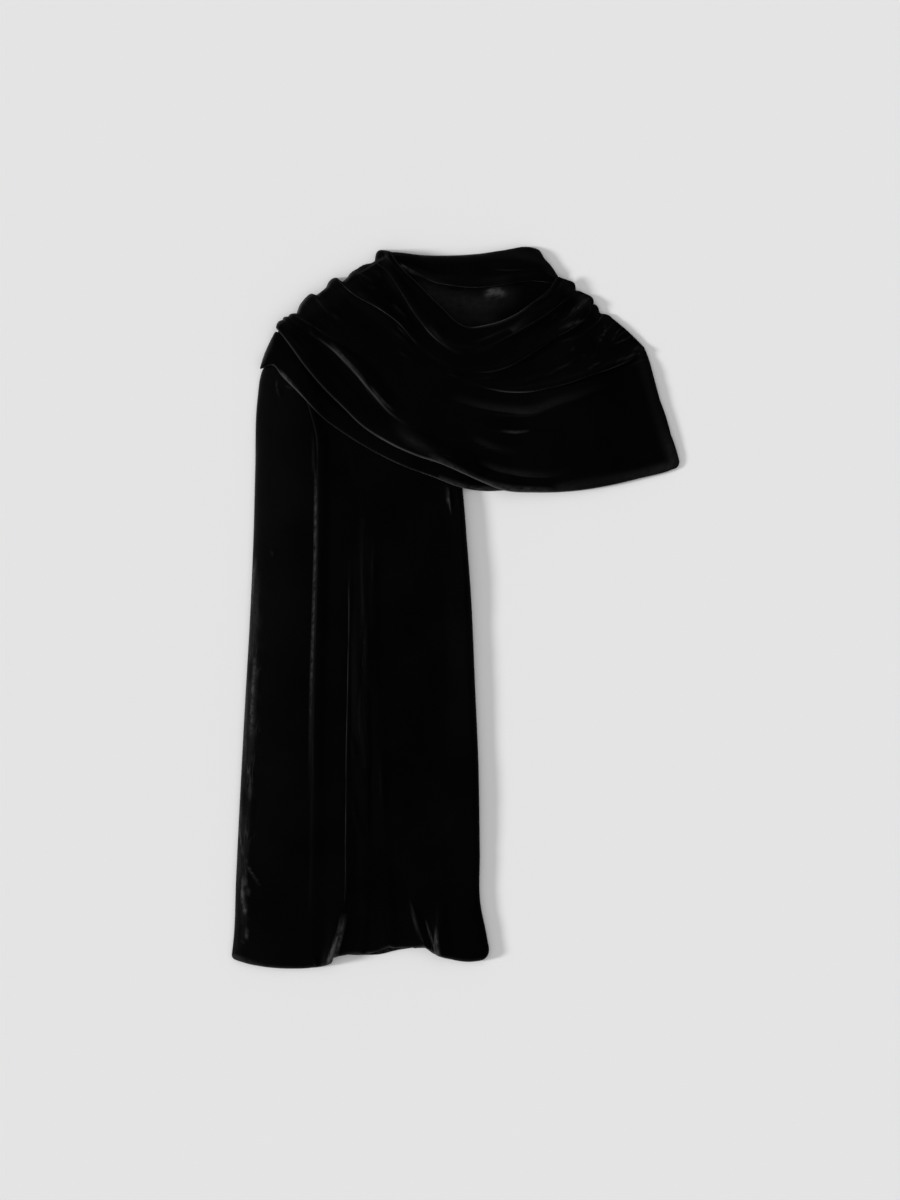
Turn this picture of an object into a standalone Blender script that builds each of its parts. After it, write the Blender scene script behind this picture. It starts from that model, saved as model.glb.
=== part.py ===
"""A black velvet scarf, laid flat and draped like a stole.

One length of velvet, face and back panel, lies on a level surface. It was folded as it is worn: an end
runs down the left, its other part goes round behind the neck, comes forward at the right and crosses
to the left shoulder in a deep drape, where it turns under. The origin is on the surface, under the
middle of the scarf's box. +Y is toward the neck and +Z is up. The tables below are in millimetres.
"""

from collections import namedtuple

import bpy
import numpy as np

MM = 0.001
WALL = 2.0  # the cloth with its pile
GAP = 0.4  # air between one piece and the next
CELL = 2.0  # grid step of the heights that a piece rests on
EDGE_STEPS = (0.0, 0.06, 0.24, 0.55, 1.0)  # where a rolled edge has its rows, as shares of its roll
BLACK = (0.006, 0.006, 0.007, 1.0)

# Each row of a piece's table is one fold, named for the line of its crest as seen from above. lift is
# the crest's height over the cloth around it, at even steps along the line. before and after are the
# widths of its two sides, and lean moves its foot back under the crest, so that the fold hangs over.
# bulges are how far the gather between this line and the next stands out at the two ends.
Fold = namedtuple("Fold", "name line lift before after lean bulges")

SWAG = (
    Fold("neckline",
         [(-84, 461), (-70, 441), (-46, 417), (-20, 391), (15, 363), (46, 366), (79, 379), (102, 395),
          (122, 411), (133, 428)],
         (0, 0, 0, 0, 0), 8, 12, 0, (9, 6)),
    Fold("first",
         [(-103, 449), (-89, 438), (-67, 406), (-50, 379), (-16, 344), (10, 332), (33, 336), (59, 348),
          (98, 369), (123, 385), (138, 397), (157, 411)],
         (4, 7, 6, 7, 5), 30, 8, 8, (3, 7)),
    Fold("second",
         [(-146, 421), (-133, 408), (-99, 388), (-71, 369), (-45, 341), (-19, 320), (7, 309), (34, 306),
          (62, 311), (92, 326), (129, 350), (157, 367), (180, 393)],
         (5, 8, 5, 7, 6), 30, 8, 8, (8, 1)),
    Fold("third",
         [(-179, 404), (-162, 385), (-142, 370), (-110, 350), (-76, 335), (-47, 317), (-12, 304),
          (11, 297), (37, 288), (72, 281), (102, 281), (123, 285), (150, 292), (176, 302), (202, 311),
          (226, 323), (246, 337)],
         (5, 3, 4, 6, 5), 24, 9, 7, (6, 1)),
    Fold("fourth",
         [(-205, 380), (-181, 365), (-155, 348), (-129, 331), (-97, 310), (-64, 289), (-32, 275),
          (-3, 266), (21, 261), (60, 254), (106, 255), (129, 263), (157, 272), (184, 284), (222, 297),
          (257, 305)],
         (4, 2, 3, 5, 2), 22, 16, 3, (3, 0)),
    Fold("fifth",
         [(-216, 376), (-190, 358), (-162, 339), (-141, 319), (-119, 294), (-103, 274), (-80, 250),
          (-59, 237), (-32, 231), (1, 228), (41, 228), (72, 226), (99, 227), (137, 235), (176, 245),
          (228, 261), (267, 268)],
         (3, 8, 3, 3, 1), 24, 10, 4, (3, 1)),
    Fold("sixth",
         [(-223, 372), (-175, 332), (-142, 300), (-119, 274), (-90, 245), (-62, 224), (-32, 207),
          (-6, 197), (33, 187), (63, 177), (97, 172), (120, 171), (158, 175), (228, 196), (281, 224)],
         (2, 3, 4, 3, 1), 18, 12, 3, (3, 1)),
    Fold("lower edge",
         [(-232, 362), (-215, 340), (-194, 311), (-170, 283), (-144, 257), (-119, 233), (-88, 213),
          (-51, 196), (-18, 185), (14, 171), (37, 161), (63, 151), (106, 148), (155, 150), (205, 159),
          (242, 168), (293, 183)],
         (0, 0, 0, 0, 0), 10, 10, 0, (0, 0)),
)
SWAG_PUFF = (11, 12, 10, 8, 6)  # the drape's height over what it lies on, from left to right

UNDER = (
    Fold("hidden edge",
         [(-233, 357), (-221, 354), (-205, 344), (-184, 319), (-160, 292), (-134, 266), (-110, 244),
          (-80, 224), (-47, 208), (-4, 190), (38, 172), (72, 162)],
         (0, 0, 0, 0), 6, 8, 0, (2, 0)),
    Fold("lower edge",
         [(-253, 308), (-236, 313), (-224, 299), (-201, 276), (-170, 244), (-141, 223), (-77, 187),
          (-25, 167), (10, 154), (40, 150), (68, 151)],
         (0, 0, 0, 0), 8, 8, 0, (0, 0)),
)
UNDER_PUFF = (5, 5, 4, 2.5)

TAIL = (
    Fold("left edge",
         [(-238, 330), (-251, 303), (-256, 270), (-259, 179), (-261, 99), (-266, -18), (-272, -122),
          (-279, -252), (-284, -356), (-287, -430), (-289, -458)],
         (0, 0, 0, 0, 0), 8, 12, 0, (0, 4)),
    Fold("left step",
         [(-208, 312), (-193, 253), (-184, 224), (-181, 177), (-181, 86), (-184, -7), (-185, -128),
          (-183, -252), (-183, -356), (-187, -406), (-193, -468)],
         (3, 5, 4, 4, 3, 3, 1), 46, 10, 5, (0, 1)),
    Fold("overlap",
         [(-168, 262), (-141, 203), (-138, 85), (-141, 16), (-141, -79), (-144, -205), (-144, -323),
          (-142, -357), (-148, -406), (-154, -434), (-161, -463)],
         (0, 0, 1, 6, 7, 8, 8), 26, 9, 9, (0, -8)),
    Fold("middle crease",
         [(-150, 251), (-120, 164), (-120, 62), (-119, -5), (-123, -103), (-116, -184), (-114, -304),
          (-115, -382), (-120, -453)],
         (0, 0, 2, 4, 3, 1, 1), 14, 9, 4, (0, 0)),
    Fold("middle ridge",
         [(-107, 224), (-99, 138), (-105, 54), (-105, -57), (-96, -187), (-92, -291), (-86, -382),
          (-85, -442)],
         (0, 0, 2, 1, 2, 1, 2), 14, 14, 1, (0, 0)),
    Fold("hem pleat",
         [(-66, 208), (-60, 112), (-58, -18), (-60, -161), (-62, -291), (-57, -382), (-47, -414),
          (-38, -441)],
         (0, 0, 0, 0, 0, 0, 1, 3, 6), 24, 10, 5, (0, 0)),
    Fold("right lobe",
         [(-30, 192), (-9, 158), (-7, 118), (-14, 20), (-18, -161), (-20, -291), (-20, -382),
          (-23, -421), (-21, -453)],
         (3, 2, 0, 0, 0, 0, 1, 4, 7), 10, 18, -6, (0, 6)),
    Fold("right edge",
         [(6, 183), (10, 155), (16, 86), (21, 21), (27, -109), (31, -200), (33, -317), (34, -388),
          (41, -423), (46, -454)],
         (0, 0, 0, 0, 0), 8, 8, 0, (0, 0)),
)
TAIL_PUFF = (6, 9, 10, 10, 8)  # from under the drape down to the hem

BACK = (
    Fold("left edge",
         [(-234, 326), (-245, 300), (-252, 263), (-256, 179), (-258, 99), (-263, -18), (-269, -122),
          (-276, -252), (-281, -356), (-286, -452)],
         (0, 0, 0), 8, 8, 0, (0, 4)),
    Fold("middle",
         [(-150, 246), (-138, 164), (-140, 62), (-140, -5), (-144, -103), (-144, -184), (-146, -304),
          (-150, -382), (-150, -454)],
         (0, 0, 0), 8, 8, 0, (0, 4)),
    Fold("hem dip",
         [(-66, 210), (-60, 112), (-58, -18), (-60, -161), (-62, -291), (-60, -382), (-55, -444)],
         (0, 0, 0), 8, 8, 0, (0, 0)),
    Fold("right edge",
         [(4, 180), (7, 155), (13, 86), (18, 21), (24, -109), (28, -200), (30, -317), (31, -388),
          (38, -423), (42, -447)],
         (0, 0, 0), 8, 8, 0, (0, 0)),
)

NECK = (
    Fold("top edge",
         [(-89, 461), (-71, 460), (-47, 457), (-7, 456), (29, 458), (66, 463), (98, 467), (110, 463),
          (116, 453), (125, 443), (133, 430)],
         (0, 0, 0, 0), 8, 8, 0, (0, 0)),
    Fold("faint crease",
         [(-84, 454), (-67, 452), (-45, 447), (-7, 440), (27, 439), (59, 440), (92, 441), (112, 441),
          (136, 425)],
         (1, 0, 1, 2, 1), 14, 8, 2, (0, 0)),
    Fold("roll",
         [(-80, 448), (-68, 441), (-55, 435), (-40, 428), (-27, 422), (-6, 418), (27, 415), (59, 418),
          (88, 423), (111, 424), (138, 420)],
         (3, 6, 6, 6, 2), 20, 7, 7, (0, 0)),
    Fold("inside patch",
         [(-73, 432), (-55, 411), (-32, 393), (1, 383), (33, 383), (63, 388), (85, 396), (111, 401),
          (138, 408)],
         (0, 2, 2, 2, 0), 18, 18, 0, (0, 0)),
    Fold("hidden edge",
         [(-68, 422), (-51, 398), (-29, 372), (7, 343), (46, 345), (80, 358), (106, 373), (126, 387),
          (134, 396)],
         (0, 0, 0, 0), 8, 8, 0, (0, 0)),
)
NECK_PUFF = (5, 7, 7, 6, 4)

# The hidden layers: the outline of the stack, and its height there.
LAYERS = (
    (-236, 345, 6.0), (-228, 359, 7.0), (-206, 374, 8.0), (-170, 408, 8.0), (-143, 418, 8.0),
    (-108, 440, 7.0), (-84, 454, 6.0), (-40, 453, 6.0), (30, 455, 6.0), (96, 463, 6.0), (112, 452, 6.0),
    (128, 428, 6.0), (150, 410, 6.0), (180, 387, 6.0), (203, 366, 6.0), (240, 331, 5.0), (252, 300, 3.4),
    (270, 240, 3.2), (284, 190, 3.2), (262, 179, 3.2), (205, 164, 3.2), (150, 155, 3.2), (110, 153, 3.2),
    (76, 158, 3.6), (44, 172, 4.0), (14, 187, 5.0), (-20, 203, 6.0), (-68, 224, 6.0), (-122, 256, 6.0),
    (-152, 280, 6.0), (-186, 312, 6.0), (-214, 334, 6.0),
)
LAYER_COUNT = 3
LAYER_TOP = 7.5
LAYER_MIDDLE = (50.0, 295.0)


def through(places, share):
    """Points at the given shares of a smooth line through the places, measured along it."""
    places = np.asarray(places, float)
    steps = np.linalg.norm(np.diff(places, axis=0), axis=1)
    along = np.concatenate(([0.0], np.cumsum(steps))) / steps.sum()
    slopes = np.gradient(places, along, axis=0)
    share = np.clip(share, 0.0, 1.0)
    i = np.clip(np.searchsorted(along, share, side="right") - 1, 0, len(along) - 2)
    width = (along[i + 1] - along[i])[:, None]
    t = (share[:, None] - along[i][:, None]) / width
    return (
        places[i] * (1 + 2 * t) * (1 - t) ** 2
        + slopes[i] * width * t * (1 - t) ** 2
        + places[i + 1] * t**2 * (3 - 2 * t)
        - slopes[i + 1] * width * t**2 * (1 - t)
    )


def even(values, share):
    """A smooth value along a line, given at even steps."""
    at = np.linspace(0.0, 1.0, len(values))
    return through(np.column_stack((at, values)), share)[:, 1]


def soft(t):
    """0 to 1, level at both ends."""
    t = np.clip(t, 0.0, 1.0)
    return 0.5 - 0.5 * np.cos(np.pi * t)


def roll(distance, width):
    """A rolled edge: upright at its outside, level when width inside it."""
    t = np.clip(distance / width, 0.0, 1.0)
    return np.sqrt(1.0 - (1.0 - t) ** 2)


def stations(count, first_roll, last_roll, length):
    """Shares of a line at which its columns stand, closer where the ends roll down."""
    inset = WALL / 2 / length
    first = inset + np.array(EDGE_STEPS) * first_roll / length
    last = 1.0 - inset - np.array(EDGE_STEPS[::-1]) * last_roll / length
    return np.concatenate((first, np.linspace(first[-1], last[0], count)[1:-1], last))


def drape(folds, share, rolls, steep, gentle):
    """The plan of a pleated stretch, and the lift of its folds, on rows that follow the folds.

    rolls are the widths of the rolled edges at the first and last line and at the two ends.
    """
    lines = [through(f.line, share) for f in folds]
    lifts = [even(f.lift, share) for f in folds]
    plan, lift, edge = [], [], []
    last = len(folds) - 2
    for k in range(len(folds) - 1):
        here, there = folds[k], folds[k + 1]
        across = lines[k + 1] - lines[k]
        width = np.maximum(np.linalg.norm(across, axis=1), 0.5)
        after = np.minimum(here.after, 0.45 * width)
        before = np.minimum(there.before, width - after)
        if k == 0:
            after = np.minimum(rolls[0], 0.6 * width)
            shares = [after / width * s for s in EDGE_STEPS[:-1]]
            shares += [after / width + (1 - after / width) * s for s in np.arange(gentle) / gentle]
            before = np.minimum(there.before, width - after)
        elif k == last:
            before = np.minimum(rolls[1], 0.6 * width)
            turn = after / width
            shares = [turn * s for s in np.arange(steep) / steep]
            shares += [turn + (1 - before / width - turn) * s for s in np.arange(gentle) / gentle]
            shares += [1 - before / width * s for s in EDGE_STEPS[::-1]]
        elif there.before < here.after:
            turn = 1 - before / width
            shares = [turn * s for s in np.arange(gentle) / gentle]
            shares += [turn + (1 - turn) * s for s in np.arange(steep) / steep]
        else:
            turn = after / width
            shares = [turn * s for s in np.arange(steep) / steep]
            shares += [turn + (1 - turn) * s for s in np.arange(gentle) / gentle]
        if k == 0 and last == 0:
            shares = [after / width * s for s in EDGE_STEPS]
            before = np.minimum(rolls[1], 0.35 * width)
            shares += [after / width + (1 - before / width - after / width) * s
                       for s in np.arange(1, gentle + 1) / (gentle + 1)]
            shares += [1 - before / width * s for s in EDGE_STEPS[::-1]]
        ends = np.linalg.norm(np.diff(lines[k], axis=0), axis=1).sum() + 1e-9
        for t in shares:
            shift = np.zeros_like(width)
            if here.lean > 0:
                a = after / width
                lean = here.lean * after / here.after * lifts[k] / max(here.lift)
                shift -= lean * np.where(t < a, soft(t / a), 1 - soft((t - a) / (1 - a)))
            if there.lean < 0:
                b = before / width
                lean = there.lean * before / there.before * lifts[k + 1] / max(there.lift)
                shift -= lean * np.where(1 - t < b, soft((1 - t) / b), 1 - soft((1 - t - b) / (1 - b)))
            moved = t + shift / width
            if k == 0:
                moved = moved + WALL / 2 / width * (1 - t)
            if k == last:
                moved = moved - WALL / 2 / width * t
            place = lines[k] + across * moved[:, None]
            for side, bulge in zip((0, 1), here.bulges):
                fade = np.clip(1 - (share if side == 0 else 1 - share) * ends / 30.0, 0, 1) ** 2
                out = lines[k][0] - lines[k][3] if side == 0 else lines[k][-1] - lines[k][-4]
                out = out / np.linalg.norm(out)
                place = place + out * (bulge * np.sin(np.pi * t) * fade)[:, None]
            up = lifts[k] * (1 - soft(t * width / np.maximum(after, 0.1)))
            up = up + lifts[k + 1] * (1 - soft((1 - t) * width / np.maximum(before, 0.1)))
            down = np.ones_like(width)
            if k == 0:
                down = down * roll(t * width, after)
            if k == last:
                down = down * roll((1 - t) * width, before)
            plan.append(place)
            lift.append(up)
            edge.append(down * np.ones_like(width))
    plan, lift, edge = np.array(plan), np.array(lift), np.array(edge)
    gaps = np.linalg.norm(np.diff(plan, axis=1), axis=2)
    run = np.concatenate((np.zeros((len(plan), 1)), np.cumsum(gaps, axis=1)), axis=1)
    edge = edge * roll(run, rolls[2]) * roll(run[:, -1:] - run, rolls[3])
    return plan, lift, edge


class Ground:
    """The height of what lies on the surface so far, on a plan grid."""

    def __init__(self):
        self.x = np.arange(-310.0, 311.0, CELL)
        self.y = np.arange(-490.0, 491.0, CELL)
        self.z = np.zeros((len(self.x), len(self.y)))

    def add(self, plan, top):
        """Marks a stretch, whose rows and columns are first made fine."""
        grid = np.dstack((plan, top))
        for axis in (0, 1):
            n = grid.shape[axis]
            at = np.linspace(0, n - 1, (n - 1) * 12 + 1)
            i = np.minimum(at.astype(int), n - 2)
            f = (at - i).reshape((-1, 1, 1) if axis == 0 else (1, -1, 1))
            grid = np.take(grid, i, axis) * (1 - f) + np.take(grid, i + 1, axis) * f
        i = np.rint((grid[..., 0] - self.x[0]) / CELL).astype(int)
        j = np.rint((grid[..., 1] - self.y[0]) / CELL).astype(int)
        np.maximum.at(self.z, (i, j), grid[..., 2])

    def spread(self, reach):
        """The heights with every step widened by reach and then smoothed, so that they only rise."""
        n = max(1, int(round(reach / CELL)))
        high = self.z.copy()
        for axis in (0, 1):
            high = np.max([np.roll(high, s, axis) for s in range(-n, n + 1)], axis=0)
        for axis in (0, 1):
            high = np.mean([np.roll(high, s, axis) for s in range(-n + 1, n)], axis=0)
        return high

    def under(self, plan, reach):
        """The spread height under each place of a plan."""
        high = self.spread(reach)
        u = np.clip((plan[..., 0] - self.x[0]) / CELL, 0, len(self.x) - 2)
        v = np.clip((plan[..., 1] - self.y[0]) / CELL, 0, len(self.y) - 2)
        i, j = u.astype(int), v.astype(int)
        f, g = u - i, v - j
        return (
            high[i, j] * (1 - f) * (1 - g) + high[i + 1, j] * f * (1 - g)
            + high[i, j + 1] * (1 - f) * g + high[i + 1, j + 1] * f * g
        )


def add_object(name, points, faces, collection, roughness):
    """A mesh object in the collection, with its own velvet material."""
    mesh = bpy.data.meshes.new(name)
    mesh.from_pydata((np.asarray(points) * MM).tolist(), [], faces)
    mesh.update()
    mesh.shade_smooth()
    thing = bpy.data.objects.new(name, mesh)
    collection.objects.link(thing)
    material = bpy.data.materials.new(name + "_velvet")
    material.use_nodes = True
    shader = material.node_tree.nodes["Principled BSDF"]
    shader.inputs["Base Color"].default_value = BLACK
    shader.inputs["Roughness"].default_value = roughness
    shader.inputs["Metallic"].default_value = 0.0
    mesh.materials.append(material)
    return thing


def add_cloth(name, plan, height, collection):
    """A stretch of cloth: an open surface of rows and columns, made solid by its wall."""
    rows, columns = height.shape
    points = np.dstack((plan, height)).reshape(-1, 3)
    at = np.arange(rows * columns).reshape(rows, columns)
    corners = np.stack((at[:-1, :-1], at[:-1, 1:], at[1:, 1:], at[1:, :-1]), axis=-1).reshape(-1, 4)
    a, b, c = points[corners[:, 0]], points[corners[:, 1]], points[corners[:, 2]]
    if np.cross(b - a, c - a)[:, 2].sum() < 0:
        corners = corners[:, ::-1]
    thing = add_object(name, points, corners.tolist(), collection, 0.9)
    wall = thing.modifiers.new("Wall", "SOLIDIFY")
    wall.thickness = WALL * MM
    wall.offset = 0.0
    wall.use_even_offset = False
    return thing


def layered_stack(around=64):
    """The hidden layers as one solid: rounded layers at its side, a soft top and a flat underside."""
    table = np.array(LAYERS, float)
    closed = np.vstack((table[-2:], table, table[:2]))
    steps = np.linalg.norm(np.diff(closed[:, :2], axis=0), axis=1)
    along = np.concatenate(([0.0], np.cumsum(steps)))
    start, end = along[2], along[-2]
    share = (start + (end - start) * np.arange(around) / around) / along[-1]
    ring = through(closed, share)
    outline, rim = ring[:, :2], ring[:, 2]
    middle = np.array(LAYER_MIDDLE)
    inward = middle - outline
    inward = inward / np.linalg.norm(inward, axis=1)[:, None]
    rows = []
    for layer in range(LAYER_COUNT):
        set_back = 0.8 * layer
        for part, inset in ((0.0, 0.9), (0.5, 0.0)):
            level = rim * (layer + part) / LAYER_COUNT
            rows.append(np.column_stack((outline + inward * (inset + set_back), level)))
    rows.append(np.column_stack((outline + inward * (1.2 + 0.8 * LAYER_COUNT), rim)))
    for step in (0.12, 0.35, 0.62, 0.85):
        edge = outline + inward * (1.2 + 0.8 * LAYER_COUNT)
        place = edge + (middle - edge) * step
        level = rim + (LAYER_TOP - rim) * soft(step / 0.7)
        rows.append(np.column_stack((place, level)))
    points = np.vstack(rows)
    faces = []
    for r in range(len(rows) - 1):
        for i in range(around):
            j = (i + 1) % around
            faces.append((r * around + i, r * around + j, (r + 1) * around + j, (r + 1) * around + i))
    top = (len(rows) - 1) * around
    points = np.vstack((points, [[*middle, LAYER_TOP], [*middle, 0.0]]))
    crown, foot = len(points) - 2, len(points) - 1
    for i in range(around):
        j = (i + 1) % around
        faces.append((top + i, top + j, crown))
        faces.append((j, i, foot))
    area = 0.5 * np.sum(outline[:, 0] * np.roll(outline[:, 1], -1) - outline[:, 1] * np.roll(outline[:, 0], -1))
    if area < 0:
        faces = [face[::-1] for face in faces]
    grid = np.array(rows[-5:])
    grid = np.concatenate((grid, grid[:, :1]), axis=1)
    grid = np.concatenate((grid, np.broadcast_to([*middle, LAYER_TOP], grid[:1].shape)), axis=0)
    return points, faces, grid


def length(line):
    return np.linalg.norm(np.diff(np.asarray(line, float), axis=0), axis=1).sum()


for thing in list(bpy.data.objects):
    bpy.data.objects.remove(thing)
scarf = bpy.data.collections.new("velvet_scarf")
bpy.context.scene.collection.children.link(scarf)
ground = Ground()
half = WALL / 2

# The under panel of the tail, flat on the surface.
share = stations(10, 3, 6, 780)
plan, lift, edge = drape(BACK, share, (5, 5, 3, 6), 1, 1)
height = np.full(lift.shape, half)
add_cloth("tail_back", plan, height, scarf)
ground.add(plan, height + half)

# The layers that lie hidden beside it.
points, faces, grid = layered_stack()
add_object("folded_layers", points, faces, scarf, 0.9)
ground.add(grid[..., :2], grid[..., 2])

# The upper panel of the tail.
share = stations(17, 6, 10, 780)
plan, lift, edge = drape(TAIL, share, (12, 14, 6, 10), 3, 2)
low = WALL + GAP + half * (0.3 + 0.7 * edge)
height = low + edge * (even(TAIL_PUFF, share) + lift)
add_cloth("tail_face", plan, height, scarf)
ground.add(plan, height + half)

# The lowest pleat of the drape, over the tail.
share = stations(20, 12, 10, length(UNDER[-1].line))
plan, lift, edge = drape(UNDER, share, (6, 8, 12, 10), 3, 2)
low = ground.under(plan, 6) + GAP + half * (0.3 + 0.7 * edge)
height = low + edge * even(UNDER_PUFF, share)
add_cloth("under_fold", plan, height, scarf)
ground.add(plan, height + half)

# The stretch behind the neck.
share = stations(13, 12, 12, 260)
plan, lift, edge = drape(NECK, share, (12, 8, 12, 12), 3, 2)
low = ground.under(plan, 4) + 0.9 + half * (0.3 + 0.7 * edge)
height = low + edge * (even(NECK_PUFF, share) + lift)
add_cloth("neck_band", plan, height, scarf)
ground.add(plan, height + half)

# The front drape, over all of them.
share = stations(22, 14, 14, 600)
plan, lift, edge = drape(SWAG, share, (10, 10, 14, 14), 3, 3)
low = ground.under(plan, 8) + 0.3 + half * (0.3 + 0.7 * edge)
height = low + edge * (even(SWAG_PUFF, share) + lift)
add_cloth("chest_swag", plan, height, scarf)
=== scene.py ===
"""The look of a black velvet scarf, laid flat and draped like a stole.

Each stretch of the cloth is a surface of rows and columns worked out with numpy on the same tables of
folds as its solid, with finer rows, its small creases and the crinkles of its gathers. The tables are in
millimetres. +Y is toward the neck and +Z is up.
"""

from collections import namedtuple

import bpy
import numpy as np
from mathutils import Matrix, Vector


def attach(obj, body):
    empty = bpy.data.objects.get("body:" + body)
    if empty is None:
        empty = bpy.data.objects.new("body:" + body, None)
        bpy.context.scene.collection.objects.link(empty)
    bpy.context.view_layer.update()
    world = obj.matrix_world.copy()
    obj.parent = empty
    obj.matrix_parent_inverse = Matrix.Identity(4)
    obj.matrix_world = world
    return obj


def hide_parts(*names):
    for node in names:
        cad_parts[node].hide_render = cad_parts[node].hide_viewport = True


MM = 0.001
WALL = 2.0  # the cloth with its pile
HALF_WALL = WALL / 2
GAP = 0.4  # air between one piece and the next
NECK_GAP = 0.9  # under the stretch behind the neck
SWAG_GAP = 0.3  # under the front drape
EDGE_STEPS = (0.0, 0.02, 0.06, 0.13, 0.24, 0.38, 0.55, 0.76, 1.0)  # rows of a rolled edge, as shares of it
BULGE_REACH = 30.0  # how far in from an end its bulges move the cloth
WAY_REACH = 18.0  # how much of a line says which way its end points
CORNER_COLUMN = 12  # the column toward which a rounded corner moves back
HEM_REACH = 10.0  # how far in from a hem its unevenness moves the cloth
DIP_X = -88.0  # the middle of the dip in the tail's hem, where it stands off the surface
DIP_WIDTH = 45.0
HEM_RISE = 4.0  # how far it stands off there
SEAM_INSIDE = 9.5  # where the tail is most crinkled, from its left edge
SEAM_WIDTHS = (9.0, 6.0)  # how far that reaches, away from the edge and toward it
SEAM_CRUSH = 1.6  # how crushed the pile is there
TAIL_LENGTH = 780.0  # along its folds, as are the next two
NECK_LENGTH = 260.0
SWAG_LENGTH = 600.0

# The grid of the heights that a piece rests on: its step, and how far it goes to each side of the middle
CELL = 2.0
GRID_X = 310.0
GRID_Y = 490.0

# The velvet: how strong its sheen is, the way toward the key light, where slopes that face it get more of
# the painted sheen, the height in metres of the dents in it and of its fibre ends, and its tones: two tones
# of its ground, the colour of the painted sheen on slopes and that of the painted highlights
SHEEN = 0.07
LIT_SLOPE_WAY = (-0.95, -0.3, 0.0)
DENT_DEPTH = 0.0005
FIBRE_DEPTH = 0.0002
DARK_GROUND = (0.0009, 0.0009, 0.0009, 1.0)
LIGHT_GROUND = (0.0018, 0.0018, 0.0019, 1.0)
PAINTED_SHEEN_TONE = (0.068, 0.068, 0.071, 1.0)
PAINTED_HIGHLIGHT_TONE = (0.042, 0.042, 0.044, 1.0)

# How fine the patterns in the velvet are, in waves to a metre
GROUND_SCALE = 12.0
PATCH_SCALE = 60.0
WRINKLE_SCALE = 130.0
DENT_SCALE = 170.0
STREAK_SCALE = 190.0
FIBRE_SCALE = 1500.0

# The light and the camera. Each lamp has its name, the way that its light goes, its strength and how wide
# it is in degrees.
SKY = 0.285
LAMPS = (
    ("overhead", (0.05, 0.0, -1.0), 1.05, 110.0),
    ("from_left", (0.92, 0.06, -0.38), 2.9, 10.0),
)
CAMERA_PLACE = (-0.00585, 0.00845, 6.0)
FRAME_HEIGHT = 1.56  # of the floor that the picture takes in

# Each row of a piece's table is one fold, named for the line of its crest as seen from above. lift is the
# crest's height over the cloth around it, at even steps along the line. before and after are the widths
# of its sides toward the line above and the line below in the table. lean moves the foot of its after
# side back under the crest, so that the fold hangs over, and less than nothing moves that of its before
# side. bulges are how far the cloth between this line and the next stands out at the two ends: one
# number for a half sine, or the distances at even steps.
Fold = namedtuple("Fold", "name line lift before after lean bulges")

SWAG = (
    Fold("neckline",
         [(-84, 461), (-70, 441), (-46, 417), (-20, 391), (15, 363), (46, 366), (79, 379), (102, 395),
          (122, 411), (133, 428)],
         (0, 0, 0, 0, 0), 8, 12, 0, (9, (0, 1, 2, 3, 4, 5, 6, 6.8, 6.6, 4, 0))),
    Fold("first",
         [(-103, 449), (-89, 438), (-67, 406), (-50, 379), (-16, 344), (10, 332), (33, 336), (59, 348),
          (98, 369), (123, 385), (138, 397), (157, 411)],
         (4, 7, 7, 3.5, 1, 2, 3.5, 3.5, 2), 30, 8, 8,
         ((0, 0, 0, 3, 4.6, 4.4, 4.8, 4.4, 1.8, 0.4, 0), (0, 0.5, 1.8, 3, 3.8, 4.8, 5.8, 6.4, 5.8, 3.5, 0))),
    Fold("second",
         [(-146, 421), (-133, 408), (-99, 388), (-71, 369), (-45, 341), (-19, 320), (7, 309), (34, 306),
          (62, 311), (92, 326), (129, 350), (157, 367), (180, 393)],
         (5, 8, 5, 1.5, 1, 2, 4, 5.5, 5, 2.5), 30, 8, 8,
         ((0, 8, 10.3, 11, 10, 7.5, 4, 2.5, 1.5, 0.7, 0),
          (0, 1.3, -3.5, 1.6, 2, 2.2, 2.4, 2.2, 1.5, 0.8, 0))),
    Fold("third",
         [(-179, 404), (-162, 385), (-142, 370), (-110, 350), (-76, 335), (-47, 317), (-12, 304),
          (11, 297), (37, 288), (72, 281), (102, 281), (123, 285), (150, 292), (176, 302), (202, 311),
          (226, 323), (246, 337)],
         (3, 1, 0.5, 0.5, 1.5, 3, 5, 6, 5, 1.5), 24, 9, 7,
         ((0, 3.5, 6.5, 8, 8, 7.8, 7.2, 6.4, 4.5, 2.2, 0), 1)),
    Fold("fourth",
         [(-205, 380), (-181, 365), (-155, 348), (-129, 331), (-97, 310), (-64, 289), (-32, 275),
          (-3, 266), (21, 261), (60, 254), (106, 255), (129, 263), (157, 272), (184, 284), (222, 297),
          (257, 305)],
         (2, 0.8, 0.4, 0.5, 1.5, 4, 5, 4, 2, 1), 22, 16, 3, (3, 0)),
    Fold("fifth",
         [(-216, 376), (-190, 359), (-161, 340), (-140, 320), (-118, 295), (-102, 275), (-79, 251),
          (-58, 238), (-32, 231), (1, 228), (41, 228), (72, 226), (99, 227), (137, 235), (176, 245),
          (228, 261), (267, 268)],
         (0.5, 0.8, 4, 7, 8, 5.5, 3.5, 1.6, 1, 0.8, 0.6, 0.8, 1.2, 1, 0.8, 0.6, 0.4, 0.3, 0.3),
         24, 10, 4, (3, 1)),
    Fold("sixth",
         [(-223, 372), (-175, 332), (-142, 300), (-119, 274), (-90, 245), (-62, 224), (-32, 207),
          (-6, 197), (33, 187), (63, 177), (97, 172), (120, 171), (158, 175), (228, 196), (281, 224)],
         (1, 0.6, 0.5, 0.8, 1.5, 2, 2.5, 2, 1, 0.5), 18, 12, 3, (3, 1)),
    Fold("lower edge",
         [(-232, 362), (-215, 340), (-194, 311), (-170, 283), (-144, 257), (-119, 233), (-88, 213),
          (-51, 196), (-18, 185), (14, 171), (37, 161), (63, 151), (106, 148), (155, 150), (205, 158),
          (243, 167), (272, 174), (294, 182)],
         (0, 0, 0, 0, 0), 10, 10, 0, (0, 0)),
)
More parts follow.
